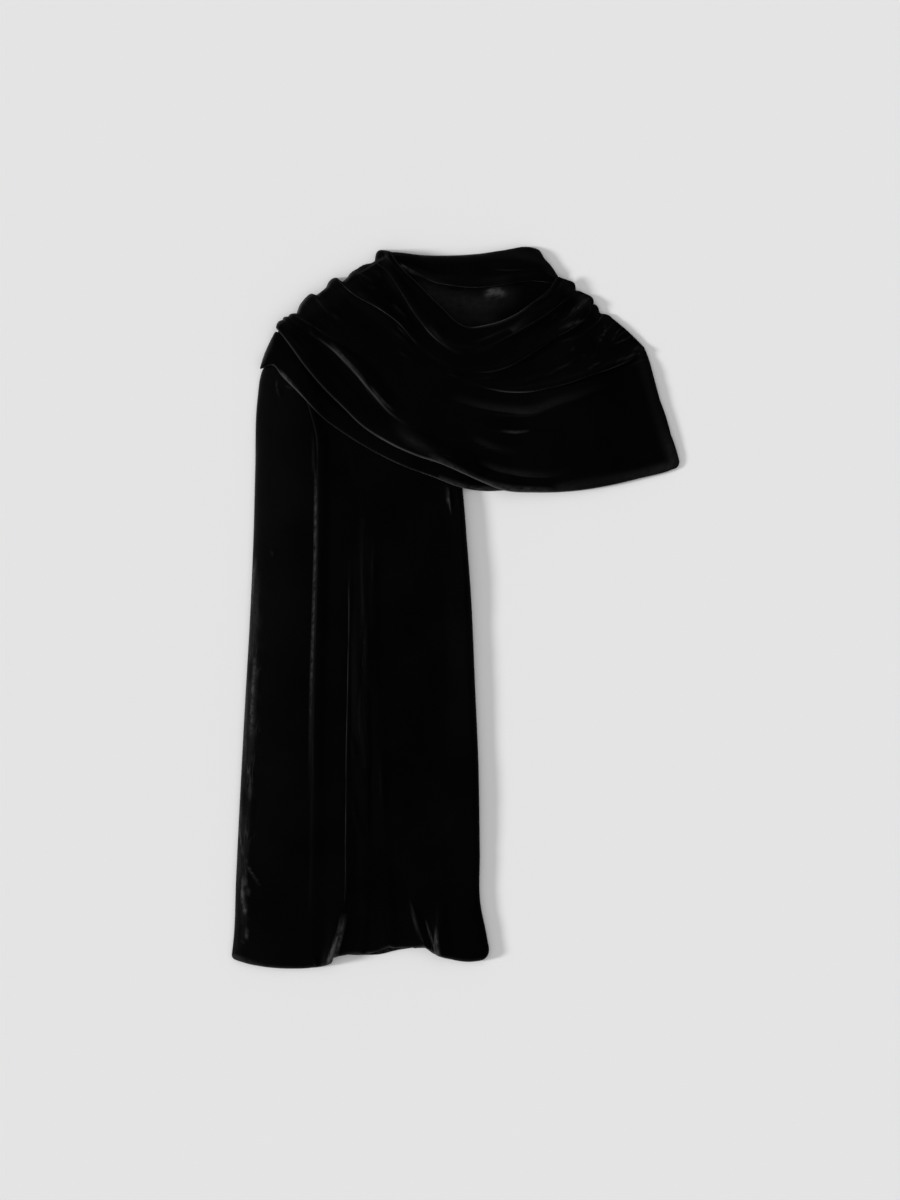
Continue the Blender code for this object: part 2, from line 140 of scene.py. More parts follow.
SWAG_PUFF = (10, 11, 12, 11, 10, 9, 7, 4.5, 1.5)  # its height over what it lies on, from left to right

UNDER = (
    Fold("hidden edge",
         [(-233, 357), (-221, 354), (-205, 344), (-184, 319), (-160, 292), (-134, 266), (-110, 244),
          (-80, 224), (-47, 208), (-4, 190), (38, 172), (72, 162)],
         (0, 0, 0, 0), 6, 8, 0, (2, 0)),
    Fold("lower edge",
         [(-253, 308), (-236, 313), (-224, 299), (-201, 276), (-170, 244), (-141, 223), (-77, 187),
          (-25, 167), (10, 154), (40, 150), (68, 151)],
         (0, 0, 0, 0), 8, 8, 0, (0, 0)),
)
UNDER_PUFF = (5, 5, 4, 2.5)

TAIL = (
    Fold("left edge",
         [(-238, 330), (-251, 303), (-256, 270), (-259, 179), (-261, 99), (-266, -18), (-272, -122),
          (-279, -252), (-284, -356), (-287, -430), (-290, -458)],
         (0, 0, 0, 0, 0), 8, 12, 0, (0, (0, 2.6, 3.9, 4.6, 5, 5, 4.6, 3.8, 2.7, 1.4, 0))),
    Fold("left step",
         [(-204, 312), (-187, 255), (-179, 225), (-177, 177), (-177, 86), (-179, -7), (-182, -128),
          (-183, -252), (-184, -356), (-186, -406), (-190, -470)],
         (3, 5, 5, 5, 4.5, 4, 2.5, 1.4, 0.6), 2.8, 40, -2, (0, 1)),
    Fold("overlap",
         [(-168, 262), (-141, 203), (-138, 85), (-141, 16), (-141, -79), (-144, -205), (-144, -323),
          (-142, -357), (-148, -406), (-154, -434), (-161, -464)],
         (0, 0, 0, 0, 0.5, 0.8, 0.8, 0.8, 0.8, 1, 1.5, 4, 8), 30, 9, 9,
         (0, (0, -7, -8.2, -8.6, -8.6, -8.2, -7.6, -6.5, -4.7, -2.5, 0))),
    Fold("middle crease",
         [(-150, 251), (-120, 164), (-120, 62), (-119, -5), (-123, -103), (-116, -184), (-114, -304),
          (-115, -382), (-120, -453)],
         (0, 0, 2, 4, 3, 1, 1), 14, 9, 4, (0, 0)),
    Fold("middle ridge",
         [(-107, 224), (-99, 138), (-105, 54), (-105, -57), (-96, -187), (-92, -291), (-86, -382),
          (-85, -443)],
         (0, 0, 2, 1, 2, 1, 2), 14, 14, 1, (0, 0)),
    Fold("hem pleat",
         [(-66, 208), (-60, 112), (-58, -18), (-60, -161), (-62, -291), (-57, -382), (-47, -414),
          (-38, -443)],
         (0, 0, 0, 0, 0, 0, 0, 0, 0, 0, 0, 0.5, 6), 24, 10, 5, (0, 0)),
    Fold("right lobe",
         [(-30, 192), (-9, 158), (-7, 118), (-14, 20), (-18, -161), (-20, -291), (-20, -382),
          (-23, -421), (-21, -454)],
         (1, 0.8, 0, 0, 0, 0, 0, 0, 0, 0, 0, 0.8, 7), 10, 18, -6, (0, 6)),
    Fold("right edge",
         [(6, 183), (10, 155), (16, 86), (21, 21), (27, -109), (31, -200), (33, -317), (34, -388),
          (41, -423), (47, -457)],
         (0, 0, 0, 0, 0), 8, 8, 0, (0, 0)),
)
TAIL_PUFF = (6, 9, 10, 10, 8)  # from under the drape down to the hem

BACK = (
    Fold("left edge",
         [(-234, 326), (-245, 300), (-252, 263), (-256, 179), (-258, 99), (-263, -18), (-269, -122),
          (-276, -252), (-281, -356), (-286, -452)],
         (0, 0, 0), 8, 8, 0, (0, 4)),
    Fold("middle",
         [(-150, 246), (-138, 164), (-140, 62), (-140, -5), (-144, -103), (-144, -184), (-146, -304),
          (-150, -382), (-150, -454)],
         (0, 0, 0), 8, 8, 0, (0, 4)),
    Fold("hem dip",
         [(-66, 210), (-60, 112), (-58, -18), (-60, -161), (-62, -291), (-60, -382), (-55, -444)],
         (0, 0, 0), 8, 8, 0, (0, 0)),
    Fold("right edge",
         [(4, 180), (7, 155), (13, 86), (18, 21), (24, -109), (28, -200), (30, -317), (31, -388),
          (38, -423), (42, -447)],
         (0, 0, 0), 8, 8, 0, (0, 0)),
)

NECK = (
    Fold("top edge",
         [(-89, 461), (-71, 460), (-47, 457), (-7, 456), (29, 458), (66, 463), (98, 467), (110, 463),
          (116, 453), (125, 443), (133, 430)],
         (0, 0, 0, 0), 8, 8, 0, (0, 0)),
    Fold("faint crease",
         [(-84, 454), (-67, 452), (-45, 447), (-7, 440), (27, 439), (59, 440), (92, 441), (112, 441),
          (136, 425)],
         (1, 0, 1, 2, 1), 14, 8, 2, (0, 0)),
    Fold("roll",
         [(-80, 448), (-68, 441), (-55, 435), (-40, 428), (-27, 422), (-6, 418), (27, 415), (59, 418),
          (88, 423), (111, 424), (138, 420)],
         (3, 6, 6, 6, 2), 20, 7, 7, (0, 0)),
    Fold("inside patch",
         [(-73, 432), (-55, 411), (-32, 393), (1, 383), (33, 383), (63, 388), (85, 396), (111, 401),
          (138, 408)],
         (0, 2, 2, 2, 0), 18, 18, 0, (0, 0)),
    Fold("hidden edge",
         [(-68, 422), (-51, 398), (-29, 372), (7, 343), (46, 345), (80, 358), (106, 373), (126, 387),
          (134, 396)],
         (0, 0, 0, 0), 8, 8, 0, (0, 0)),
)
NECK_PUFF = (5, 7, 7, 5, 1.5)

# The hidden layers: the outline of the stack, and its height there.
LAYERS = (
    (-236, 345, 6.0), (-228, 359, 7.0), (-206, 374, 8.0), (-170, 408, 8.0), (-143, 418, 8.0),
    (-108, 440, 7.0), (-84, 454, 6.0), (-40, 453, 6.0), (30, 455, 6.0), (96, 463, 4.5), (112, 452, 3.8),
    (128, 428, 3.6), (150, 410, 3.6), (180, 387, 3.6), (203, 366, 3.6), (240, 331, 3.4), (252, 300, 3.4),
    (270, 240, 3.2), (284, 190, 3.2), (262, 179, 3.2), (205, 164, 3.2), (150, 155, 3.2), (110, 153, 3.2),
    (76, 158, 3.6), (44, 172, 4.0), (14, 187, 5.0), (-20, 203, 6.0), (-68, 224, 6.0), (-122, 256, 6.0),
    (-152, 280, 6.0), (-186, 312, 6.0), (-214, 334, 6.0),
)
LAYER_COUNT = 3
LAYER_ROWS = 6  # rings of points up the side of each layer
LAYER_SET_BACK = 0.8  # from one layer's side to the next above it
LAYER_ROUND = 0.9  # how far its side goes in at its foot
LAYER_TOP = 7.5
LAYER_MIDDLE = (50.0, 295.0)

# The small creases: the line of each crest as seen from above, its height at even steps along it, and
# the widths of its sides to the left and right of the way that the line runs.
Crease = namedtuple("Crease", "line rise left right")

SWAG_CREASES = (
    Crease([(-82, 391), (-72, 382), (-60, 374)], (0, 2.2, 0), 7, 3),
    Crease([(-77, 369), (-66, 357), (-55, 345)], (0, 2.2, 1.8, 0), 7, 3),
    Crease([(-84, 362), (-68, 350), (-55, 337)], (0, 2, 1.5, 0), 5, 3),
    Crease([(-76, 335), (-63, 327), (-47, 315)], (0, 2.4, 1.6, 0), 8, 4),
    Crease([(-159, 383), (-145, 371)], (0, 2, 0), 6, 4),
    Crease([(-120, 402), (-107, 395), (-89, 382), (-79, 372)], (0, 1.5, 2, 0), 6, 3),
    Crease([(-32, 367), (-21, 354), (-10, 341)], (0, 2.2, 0), 9, 5),
    Crease([(-12, 304), (-1, 301), (11, 297)], (0, 1.8, 0), 7, 3),
    Crease([(-110, 288), (-94, 268), (-77, 253)], (0, 3, 2, 0), 4, 3.5),
    Crease([(-161, 341), (-143, 321), (-121, 297), (-105, 273), (-82, 250), (-61, 233)],
           (0, 3.5, 3, 1.5, 0.8, 0), 14, 4),
    Crease([(-188, 370), (-184, 357), (-180, 344)], (0, 1.2, 0), 5, 4),
    Crease([(-220, 359), (-211, 349), (-197, 331)], (0, 1.2, 0), 6, 4),
    Crease([(-136, 430), (-128, 419), (-112, 404), (-99, 388)], (0, 2, 1.5, 0), 9, 4),
    Crease([(-120, 440), (-110, 422), (-92, 398), (-76, 383)], (0, 1.5, 1.8, 0), 10, 4),
    Crease([(-47, 210), (-19, 190), (10, 174), (49, 159), (88, 153), (137, 153)],
           (0, 1.8, 2.2, 2, 1.6, 0), 11, 6),
    Crease([(-24, 201), (-8, 197), (6, 188)], (0, 2, 0), 7, 4),
    Crease([(18, 331), (31, 336), (55, 346), (89, 363), (122, 383), (153, 410)],
           (0, 2.4, 2.6, 2, 1.6, 0), 11, 4),
    Crease([(24, 352), (46, 356), (70, 365), (85, 372)], (0, 1.4, 1.2, 0), 9, 6),
    Crease([(23, 310), (36, 306), (49, 307), (75, 315), (105, 331), (140, 353), (171, 372)],
           (0, 1.6, 2, 2, 2.2, 2.4, 0), 7, 3),
    Crease([(23, 292), (44, 292), (63, 291)], (0, 1.6, 0), 7, 3),
    Crease([(63, 289), (86, 288), (111, 297), (132, 304), (146, 315)], (0, 1.2, 1.8, 1.4, 0), 8, 3.5),
    Crease([(38, 287), (53, 283), (79, 280), (111, 284), (150, 293), (189, 306), (218, 318), (236, 328)],
           (0, 2.2, 2.2, 2, 2.2, 2.8, 2.6, 0), 7, 3),
    Crease([(-6, 271), (21, 263), (60, 256), (106, 255), (129, 263), (157, 272), (179, 280)],
           (0, 1.8, 2.6, 2.8, 2.2, 1.8, 0), 13, 4),
    Crease([(25, 239), (41, 232), (72, 227), (99, 228)], (0, 1.6, 2, 0), 6, 3),
    Crease([(23, 213), (37, 207), (51, 202)], (0, 1.4, 0), 8, 4),
    Crease([(29, 188), (60, 177), (87, 172), (118, 171), (157, 176)], (0, 1.6, 2.2, 1.6, 0), 7, 3),
    Crease([(174, 306), (184, 313), (194, 319)], (0, 1.2, 0), 3, 2),
    Crease([(133, 356), (152, 366), (175, 376)], (0, 1.6, 1.6, 0), 4, 2),
    Crease([(132, 365), (141, 374), (150, 383), (161, 391)], (0, 1.4, 1.2, 0), 3, 2),
    Crease([(161, 400), (170, 402), (177, 401)], (0, 1.8, 0), 4, 3),
    Crease([(153, 388), (163, 393), (175, 395)], (0, 1.6, 0), 3, 2),
    Crease([(185, 340), (190, 349), (190, 359), (187, 370)], (0, 1.8, 1.5, 0), 3, 4),
    Crease([(179, 331), (176, 341), (174, 352)], (0, 1.4, 0), 4, 4),
    Crease([(194, 357), (203, 352), (215, 343)], (0, 1.2, 0), 5, 5),
    Crease([(241, 331), (254, 288), (267, 242), (278, 210)], (0, 1.6, 1.6, 0), 12, 12),
    Crease([(215, 183), (241, 189), (267, 197), (285, 201)], (0, 2, 2.4, 0), 14, 10),
)

TAIL_CREASES = (
    Crease([(6, 168), (11, 120), (15, 80), (18, 30), (21, -20)], (2, 3.5, 3.5, 2.5, 0), 22, 22),
    Crease([(-135, 85), (-135, 8), (-137, -96), (-139, -200), (-140, -304), (-142, -388), (-148, -421),
            (-158, -462)],
           (0, 2.5, 3.4, 3.4, 3, 3, 2, 1), 16, 2),
    Crease([(-136, 62), (-136, 8), (-135, -44)], (0, 1.6, 0), 5, 3),
    Crease([(-119, 97), (-119, 47), (-116, -18), (-115, -44), (-119, -96), (-122, -148), (-116, -200),
            (-115, -220)],
           (0, 1.2, 1.6, 2.4, 2.2, 1.6, 1, 0), 8, 3),
    Crease([(-135, -162), (-132, -181), (-128, -207)], (0, 1.8, 0), 4, 3),
    Crease([(-135, -239), (-129, -267), (-123, -291), (-118, -304)], (0, 1.6, 2, 0), 5, 3),
    Crease([(-104, 97), (-105, 54), (-106, 11)], (0, 1.4, 0), 7, 3),
    Crease([(-96, -187), (-94, -232), (-93, -271)], (0, 1.5, 0), 7, 3),
    Crease([(-58, -382), (-51, -406), (-39, -441), (-36, -449)], (0, 2.4, 3, 2), 12, 3),
    Crease([(-38, -406), (-32, -426), (-27, -447)], (0, 2.6, 2.2), 6, 3),
    Crease([(-19, -369), (-20, -395), (-21, -421), (-24, -440), (-21, -453)], (0, 2, 3, 3.4, 2), 14, 3.5),
    Crease([(-9, 158), (-5, 132), (-4, 118)], (0, 2, 0), 5, 2),
    Crease([(-12, 112), (-3, 60), (1, -18), (2, -122), (1, -226)], (0, 1.6, 2, 1.6, 0), 30, 16),
    Crease([(-229, 285), (-228, 278), (-224, 270)], (0, 2, 0), 5, 3),
    Crease([(-233, 79), (-237, 67), (-240, 60)], (0, 1.6, 0), 4, 3),
    Crease([(-266, -336), (-258, -352), (-246, -371)], (0, 1.8, 0), 6, 3),
    Crease([(-185, -453), (-181, -460), (-179, -467)], (0, 2, 2), 4, 3),
    Crease([(-266, -226), (-263, -252), (-262, -267)], (0, 2, 0), 5, 3),
)

NECK_CREASES = (
    Crease([(-70, 443), (-55, 435), (-40, 428), (-27, 422), (-6, 417)], (0, 3, 2.4, 1.6, 0), 10, 3),
    Crease([(10, 413), (27, 414), (45, 417), (57, 419), (66, 422), (84, 422)], (0, 1.6, 1.8, 1.6, 0), 8, 3),
    Crease([(42, 441), (57, 439), (76, 438), (96, 440)], (0, 1.6, 1.6, 0), 8, 3),
    Crease([(-66, 435), (-58, 432), (-49, 428)], (0, 2.4, 0), 4, 4),
    Crease([(-45, 418), (-31, 398), (-18, 384), (-7, 375), (6, 369)], (0, 1.8, 2, 1.6, 0), 14, 5),
    Crease([(38, 396), (49, 405), (63, 410)], (0, 3, 0), 7, 7),
    Crease([(46, 388), (57, 397), (67, 402)], (0, 2, 0), 5, 5),
    Crease([(33, 409), (42, 413), (54, 411)], (0, 1.6, 0), 5, 5),
)

# Painted highlights and painted sheen, where the cloth catches the light: a line as seen from above, how
# pale it is at even steps along it, and the widths over which that fades to the left and right of the way
# that the line runs. Less than nothing is painted shade, a place that stays dull where other slopes get
# the painted sheen.
PaintedLight = namedtuple("PaintedLight", "line pale left right")

SWAG_PAINTED_LIGHT = (
    PaintedLight([(-84, 461), (-70, 441), (-46, 417), (-20, 391), (4, 371)], (-0.9, -1, -1, -1, -0.6), 8, 8),
    PaintedLight([(-103, 449), (-89, 438), (-67, 406), (-50, 379), (-16, 344)],
            (-0.9, -0.9, -0.7, -0.5, -0.5), 7, 7),
    PaintedLight([(79, 379), (102, 395), (122, 411), (133, 428)], (-0.3, -1, -1, -1), 9, 9),
    PaintedLight([(-10, 341), (10, 331), (33, 336), (70, 353)], (-0.3, -0.8, -0.7, -0.3), 8, 8),
    PaintedLight([(18, 333), (31, 338), (55, 348), (89, 363), (122, 382), (153, 409)],
            (0, 0.18, 0.2, 0.04, 0, 0, 0), 8, 4),
    PaintedLight([(-6, 270), (21, 262), (60, 254), (106, 253), (129, 261), (157, 270), (179, 279), (205, 289)],
            (0, 0.06, 0.1, 0.12, 0.1, 0.07, 0.03, 0), 12, 2),
    PaintedLight([(-55, 216), (-36, 200), (10, 172), (49, 156), (88, 150), (137, 149)],
            (-0.3, 0.12, 0.38, 0.48, 0.42, 0.5, 0), 8, 5),
    PaintedLight([(137, 151), (189, 161), (241, 170), (286, 182)], (0.14, 0.08, 0.14, 0.22), 13, 8),
    PaintedLight([(243, 330), (258, 285), (272, 235), (288, 187)], (0.04, 0.05, 0.06, 0.22), 12, 16),
    PaintedLight([(-162, 344), (-142, 322), (-120, 298), (-104, 274), (-81, 251), (-60, 231)],
            (0, 0.33, 0.2, 0.08, 0.05, 0.04, 0), 2, 4),
    PaintedLight([(-111, 289), (-94, 268), (-76, 252)], (0, 0.25, 0.3, 0), 1.6, 2.6),
    PaintedLight([(-77, 240), (-58, 219), (-32, 203)], (0.03, 0.12, 0.05), 13, 14),
    PaintedLight([(-142, 414), (-107, 383), (-71, 349)], (0.01, 0.02, 0.01), 18, 18),
    PaintedLight([(-218, 370), (-180, 392), (-140, 415), (-104, 442)], (0.02, 0.03, 0.025, 0.01), 20, 20),
    PaintedLight([(-140, 430), (-106, 451), (-84, 461)], (-0.4, -0.8, -0.8), 12, 12),
    PaintedLight([(134, 426), (157, 409), (182, 390), (214, 358)], (0.06, 0.06, 0.03, 0), 14, 14),
    PaintedLight([(20, 219), (49, 205), (85, 198)], (0, 0.08, 0.04, 0), 10, 3),
    PaintedLight([(29, 188), (60, 177), (87, 172), (118, 171), (157, 176)],
            (0, 0.08, 0.13, 0.08, 0.03, 0), 7, 3),
    PaintedLight([(59, 228), (79, 226), (99, 228)], (0, 0.4, 0), 2.2, 2),
    PaintedLight([(-42, 377), (-28, 361), (-12, 342)], (0, 0.08, 0.06, 0), 3, 1.6),
    PaintedLight([(-82, 392), (-72, 383), (-60, 373)], (0, 0.12, 0.06, 0), 3, 2),
    PaintedLight([(159, 400), (168, 398), (176, 396)], (0, 0.12, 0), 1.5, 1.5),
    PaintedLight([(174, 397), (176, 388), (174, 381)], (0, 0.18, 0), 1.3, 1.3),
    PaintedLight([(151, 383), (159, 387), (167, 388)], (0, 0.2, 0), 1.3, 1.3),
    PaintedLight([(137, 358), (146, 365), (154, 371)], (0, 0.1, 0), 1.5, 1.2),
    PaintedLight([(196, 369), (194, 354), (185, 340)], (0, 0.2, 0), 1.4, 1.2),
    PaintedLight([(150, 331), (154, 335), (157, 337)], (0, 0.1, 0), 2.4, 2.4),
    PaintedLight([(114, 297), (132, 306), (148, 315), (159, 322)], (0, 0.07, 0.09, 0), 2, 1.4),
    PaintedLight([(171, 306), (183, 313), (193, 319)], (0, 0.14, 0), 2, 1.2),
    PaintedLight([(207, 315), (223, 322), (239, 330)], (0, 0.26, 0), 2.4, 1.4),
    PaintedLight([(133, 357), (153, 366), (175, 374)], (0, 0.25, 0), 2.5, 1.6),
    PaintedLight([(-232, 362), (-194, 311), (-144, 257), (-119, 233), (-100, 220)],
            (-0.8, -0.9, -0.9, -0.8, -0.2), 8, 8),
)

# The tail's painted highlights and painted shade, with painted sheen along its left edge
TAIL_PAINTED_LIGHT = (
    PaintedLight([(-246, 300), (-252, 216), (-254, 86), (-262, -70), (-270, -226), (-276, -356), (-280, -447)],
            (0.033, 0.038, 0.038, 0.034, 0.026, 0.022, 0.018), 84, 20),
    PaintedLight([(-184, 236), (-183, 190), (-180, 151), (-181, 86), (-183, -7), (-186, -128), (-187, -252),
             (-188, -400)],
            (0, 0.2, 0.8, 0.7, 0.65, 0.6, 0.4, 0.2, 0.1, 0.05, 0.03, 0), 2.8, 1.8),
    PaintedLight([(-133, 86), (-133, -44), (-133, -174), (-133, -291)], (0, 0.03, 0.04, 0.03, 0), 14, 2),
    PaintedLight([(-144, -401), (-150, -427), (-162, -463)], (0.1, 0.9, 2.0, 2.6), 6, 5),
    PaintedLight([(-24, -414), (-23, -440), (-20, -457)], (0, 0.6, 1.0), 3.5, 2),
    PaintedLight([(1, 60), (10, -44), (15, -200)], (0, 0.015, 0.015, 0), 26, 26),
    PaintedLight([(-8, 157), (-6, 133), (-4, 118)], (0, 0.4, 0), 1.1, 1.1),
    PaintedLight([(-289, -453), (-250, -465), (-201, -466), (-168, -463)], (0.3, 0.06, -0.35, -0.3), 5, 5),
    PaintedLight([(-84, -444), (-66, -438), (-46, -438)], (-0.4, -0.7, -0.7), 7, 7),
    PaintedLight([(-12, -456), (18, -462), (42, -458)], (-0.2, -0.5, -0.4), 6, 6),
    PaintedLight([(-140, -453), (-130, -451), (-120, -450)], (-0.6, -1, -0.4), 7, 7),
    PaintedLight([(-118, -450), (-106, -449), (-92, -447)], (0, 0.25, 0), 3, 3),
    PaintedLight([(-230, 299), (-231, 286), (-227, 272)], (0, 0.2, 0.2, 0), 1.2, 1.2),
    PaintedLight([(-221, 287), (-213, 283), (-206, 280)], (0, 0.2, 0), 1.5, 1.5),
    PaintedLight([(-233, 79), (-237, 67), (-240, 60)], (0, 0.12, 0), 2, 2),
    PaintedLight([(-255, 66), (-258, -20), (-260, -90), (-266, -220), (-272, -320), (-275, -410)],
            (0, 0.18, 0.12, 0.18, 0.14, 0.08, 0.12, 0.14, 0.08), 7, 6),
    PaintedLight([(-287, -365), (-289, -410), (-291, -450)], (-0.2, -0.9, -0.9, -0.5), 8, 8),
    PaintedLight([(-119, 110), (-118, -20), (-117, -150), (-116, -205)], (0.02, 0.05, 0.05, 0.02), 8, 8),
    PaintedLight([(-257, 66), (-260, 42), (-261, 20), (-262, -30)], (0, 0.7, 0.5, 0.2, 0), 2.4, 2),
    PaintedLight([(-259, -62), (-259, -88), (-262, -112), (-263, -128)], (0.1, 0.9, 0.7, 0.4), 3, 2.4),
    PaintedLight([(-262, -126), (-263, -146), (-264, -174)], (0.5, 0.7, 0), 2.8, 2),
    PaintedLight([(-267, -102), (-270, -148), (-272, -200), (-274, -228)], (0, 0.4, 0.3, 0), 1.8, 1.8),
    PaintedLight([(-269, -205), (-266, -232), (-265, -259)], (0, 0.5, 0), 1.8, 1.8),
    PaintedLight([(-278, -258), (-279, -285), (-276, -310), (-274, -330)], (0, 0.5, 0.6, 0), 1.6, 1.6),
    PaintedLight([(-270, -214), (-267, -232), (-264, -250)], (0, 0.3, 0), 1.2, 1.2),
    PaintedLight([(-271, -324), (-267, -339), (-258, -353), (-249, -367)], (0.1, 0.35, 0.2, 0), 2, 2),
    PaintedLight([(-272, -348), (-270, -361), (-267, -374)], (0, 0.6, 0.2), 2.4, 2.4),
    PaintedLight([(-276, -332), (-275, -349), (-275, -366), (-274, -382), (-272, -394), (-270, -405)],
            (0.1, 0.2, 0.8, 1.2, 1.0, 0.3), 2.4, 2.2),
    PaintedLight([(-273, -160), (-275, -190), (-276, -225), (-278, -250)], (0, 0.25, 0.3, 0), 1.6, 1.6),
    PaintedLight([(-272, -413), (-269, -422), (-271, -430), (-275, -438)], (0, 0.4, 0.4, 0), 2.2, 2.2),
    PaintedLight([(-281, -275), (-283, -319)], (0, 0.15, 0), 2, 2),
    PaintedLight([(-283, -325), (-285, -350), (-286, -372)], (0, -0.5, 0), 5, 5),
    PaintedLight([(-58, -380), (-51, -406), (-39, -443)], (0, 0.5, 0.3), 1.8, 1.8),
    PaintedLight([(-38, -405), (-32, -424), (-27, -440)], (0, 0.5, 0.5), 1.8, 1.8),
)

# Painted light behind the neck: the painted highlight inside the neckline, and painted shade
NECK_PAINTED_LIGHT = (
    PaintedLight([(-40, 413), (-19, 402), (10, 393), (36, 393), (63, 406)],
            (0.14, 0.15, 0.13, 0.11, 0.09), 24, 30),
    PaintedLight([(38, 402), (50, 408), (65, 405)], (0.1, 0.8, 1.0, 0.3), 8, 8),
    PaintedLight([(-73, 444), (-58, 435), (-40, 427)], (0, 1.2, 0.5, 0.1), 3, 3),
    PaintedLight([(-30, 397), (-8, 381), (16, 372), (45, 374)], (0.07, 0.1, 0.1, 0.06), 20, 20),
    PaintedLight([(-8, 418), (2, 416), (11, 415)], (0, -1, 0), 5, 5),
    PaintedLight([(82, 423), (104, 424), (128, 421)], (-0.6, -1, -1), 6, 6),
    PaintedLight([(-84, 456), (-6, 452), (85, 456), (118, 448)], (0.04, 0.03, 0.04, 0.06), 14, 10),
    PaintedLight([(106, 460), (120, 448), (134, 430)], (0.06, 0.09, 0.08), 12, 12),
)

# The lowest pleat's painted highlights and painted shade
UNDER_PAINTED_LIGHT = (
    PaintedLight([(-230, 308), (-221, 299), (-211, 287), (-202, 278), (-190, 266)], (0, 0.8, 0.9, 0.3, 0), 3, 3),
    PaintedLight([(-168, 243), (-155, 232)], (0, 0.3, 0), 2, 2),
    PaintedLight([(-144, 223), (-128, 213), (-107, 201), (-86, 192)], (0, 0.4, 0.4, 0), 3, 2),
    PaintedLight([(-32, 170), (-3, 158), (10, 154), (40, 151), (68, 152)], (0.1, 0.4, 0.5, 0.35, 0.3), 8, 4),
    PaintedLight([(-201, 276), (-170, 244), (-141, 223), (-77, 187), (-25, 167)],
            (-0.2, -0.7, -0.9, -0.5, -0.9, -0.6, -0.9, -0.3), 8, 8),
)


def through(places, share):
    """Points at the given shares of a smooth line through the places, measured along it.

    Between two places the line is a cubic whose slopes at both are those of their neighbours' chord.
    """
    places = np.asarray(places, float)
    steps = np.linalg.norm(np.diff(places, axis=0), axis=1)
    along = np.concatenate(([0.0], np.cumsum(steps))) / steps.sum()
    slopes = np.gradient(places, along, axis=0)
    share = np.clip(share, 0.0, 1.0)
    i = np.clip(np.searchsorted(along, share, side="right") - 1, 0, len(along) - 2)
    width = (along[i + 1] - along[i])[:, None]
    t = (share[:, None] - along[i][:, None]) / width
    return (
        places[i] * (1 + 2 * t) * (1 - t) ** 2
        + slopes[i] * width * t * (1 - t) ** 2
        + places[i + 1] * t**2 * (3 - 2 * t)
        - slopes[i + 1] * width * t**2 * (1 - t)
    )


def even(values, share):
    """A smooth value along a line, given at even steps.

    Between two steps it is a cubic whose slopes at both are those of their neighbours' chord.
    """
    values = np.asarray(values, float)
    slopes = np.gradient(values)
    at = np.clip(share, 0.0, 1.0) * (len(values) - 1)
    i = np.minimum(np.asarray(at).astype(int), len(values) - 2)
    t = at - i
    return (
        values[i] * (1 + 2 * t) * (1 - t) ** 2 + slopes[i] * t * (1 - t) ** 2
        + values[i + 1] * t**2 * (3 - 2 * t) - slopes[i + 1] * t**2 * (1 - t)
    )


def soft(t):
    """0 to 1 as a half cosine, level at both ends."""
    t = np.clip(t, 0.0, 1.0)
    return 0.5 - 0.5 * np.cos(np.pi * t)


def roll(distance, width):
    """A rolled edge, a quarter ellipse: upright at its outside, level when width inside it."""
    t = np.clip(distance / width, 0.0, 1.0)
    return np.sqrt(1.0 - (1.0 - t) ** 2)


def length(line):
    """The length of a line through its places."""
    return np.linalg.norm(np.diff(np.asarray(line, float), axis=0), axis=1).sum()


def running(grid, axis):
    """The length along a grid's columns (axis 0) or rows (axis 1) from their first place to each place."""
    first = grid[:1] if axis == 0 else grid[:, :1]
    return np.cumsum(np.linalg.norm(np.diff(grid, axis=axis, prepend=first), axis=2), axis=axis)


def spaced(start, end, count):
    """So many shares from start on, at even steps that would reach end with one more."""
    return [start + (end - start) * s for s in np.arange(count) / count]


def stations(count, first_roll, last_roll, span):
    """Shares of a line at which its columns stand, closer where the ends roll down."""
    inset = HALF_WALL / span
    first = inset + np.array(EDGE_STEPS) * first_roll / span
    last = 1.0 - inset - np.array(EDGE_STEPS[::-1]) * last_roll / span
    return np.concatenate((first, np.linspace(first[-1], last[0], count)[1:-1], last))


def end_way(line):
    """The way that a line points out of the cloth at its first end."""
    reach = np.argmax(np.linalg.norm(line - line[0], axis=1) > WAY_REACH)
    out = line[0] - line[reach]
    return out / np.linalg.norm(out)


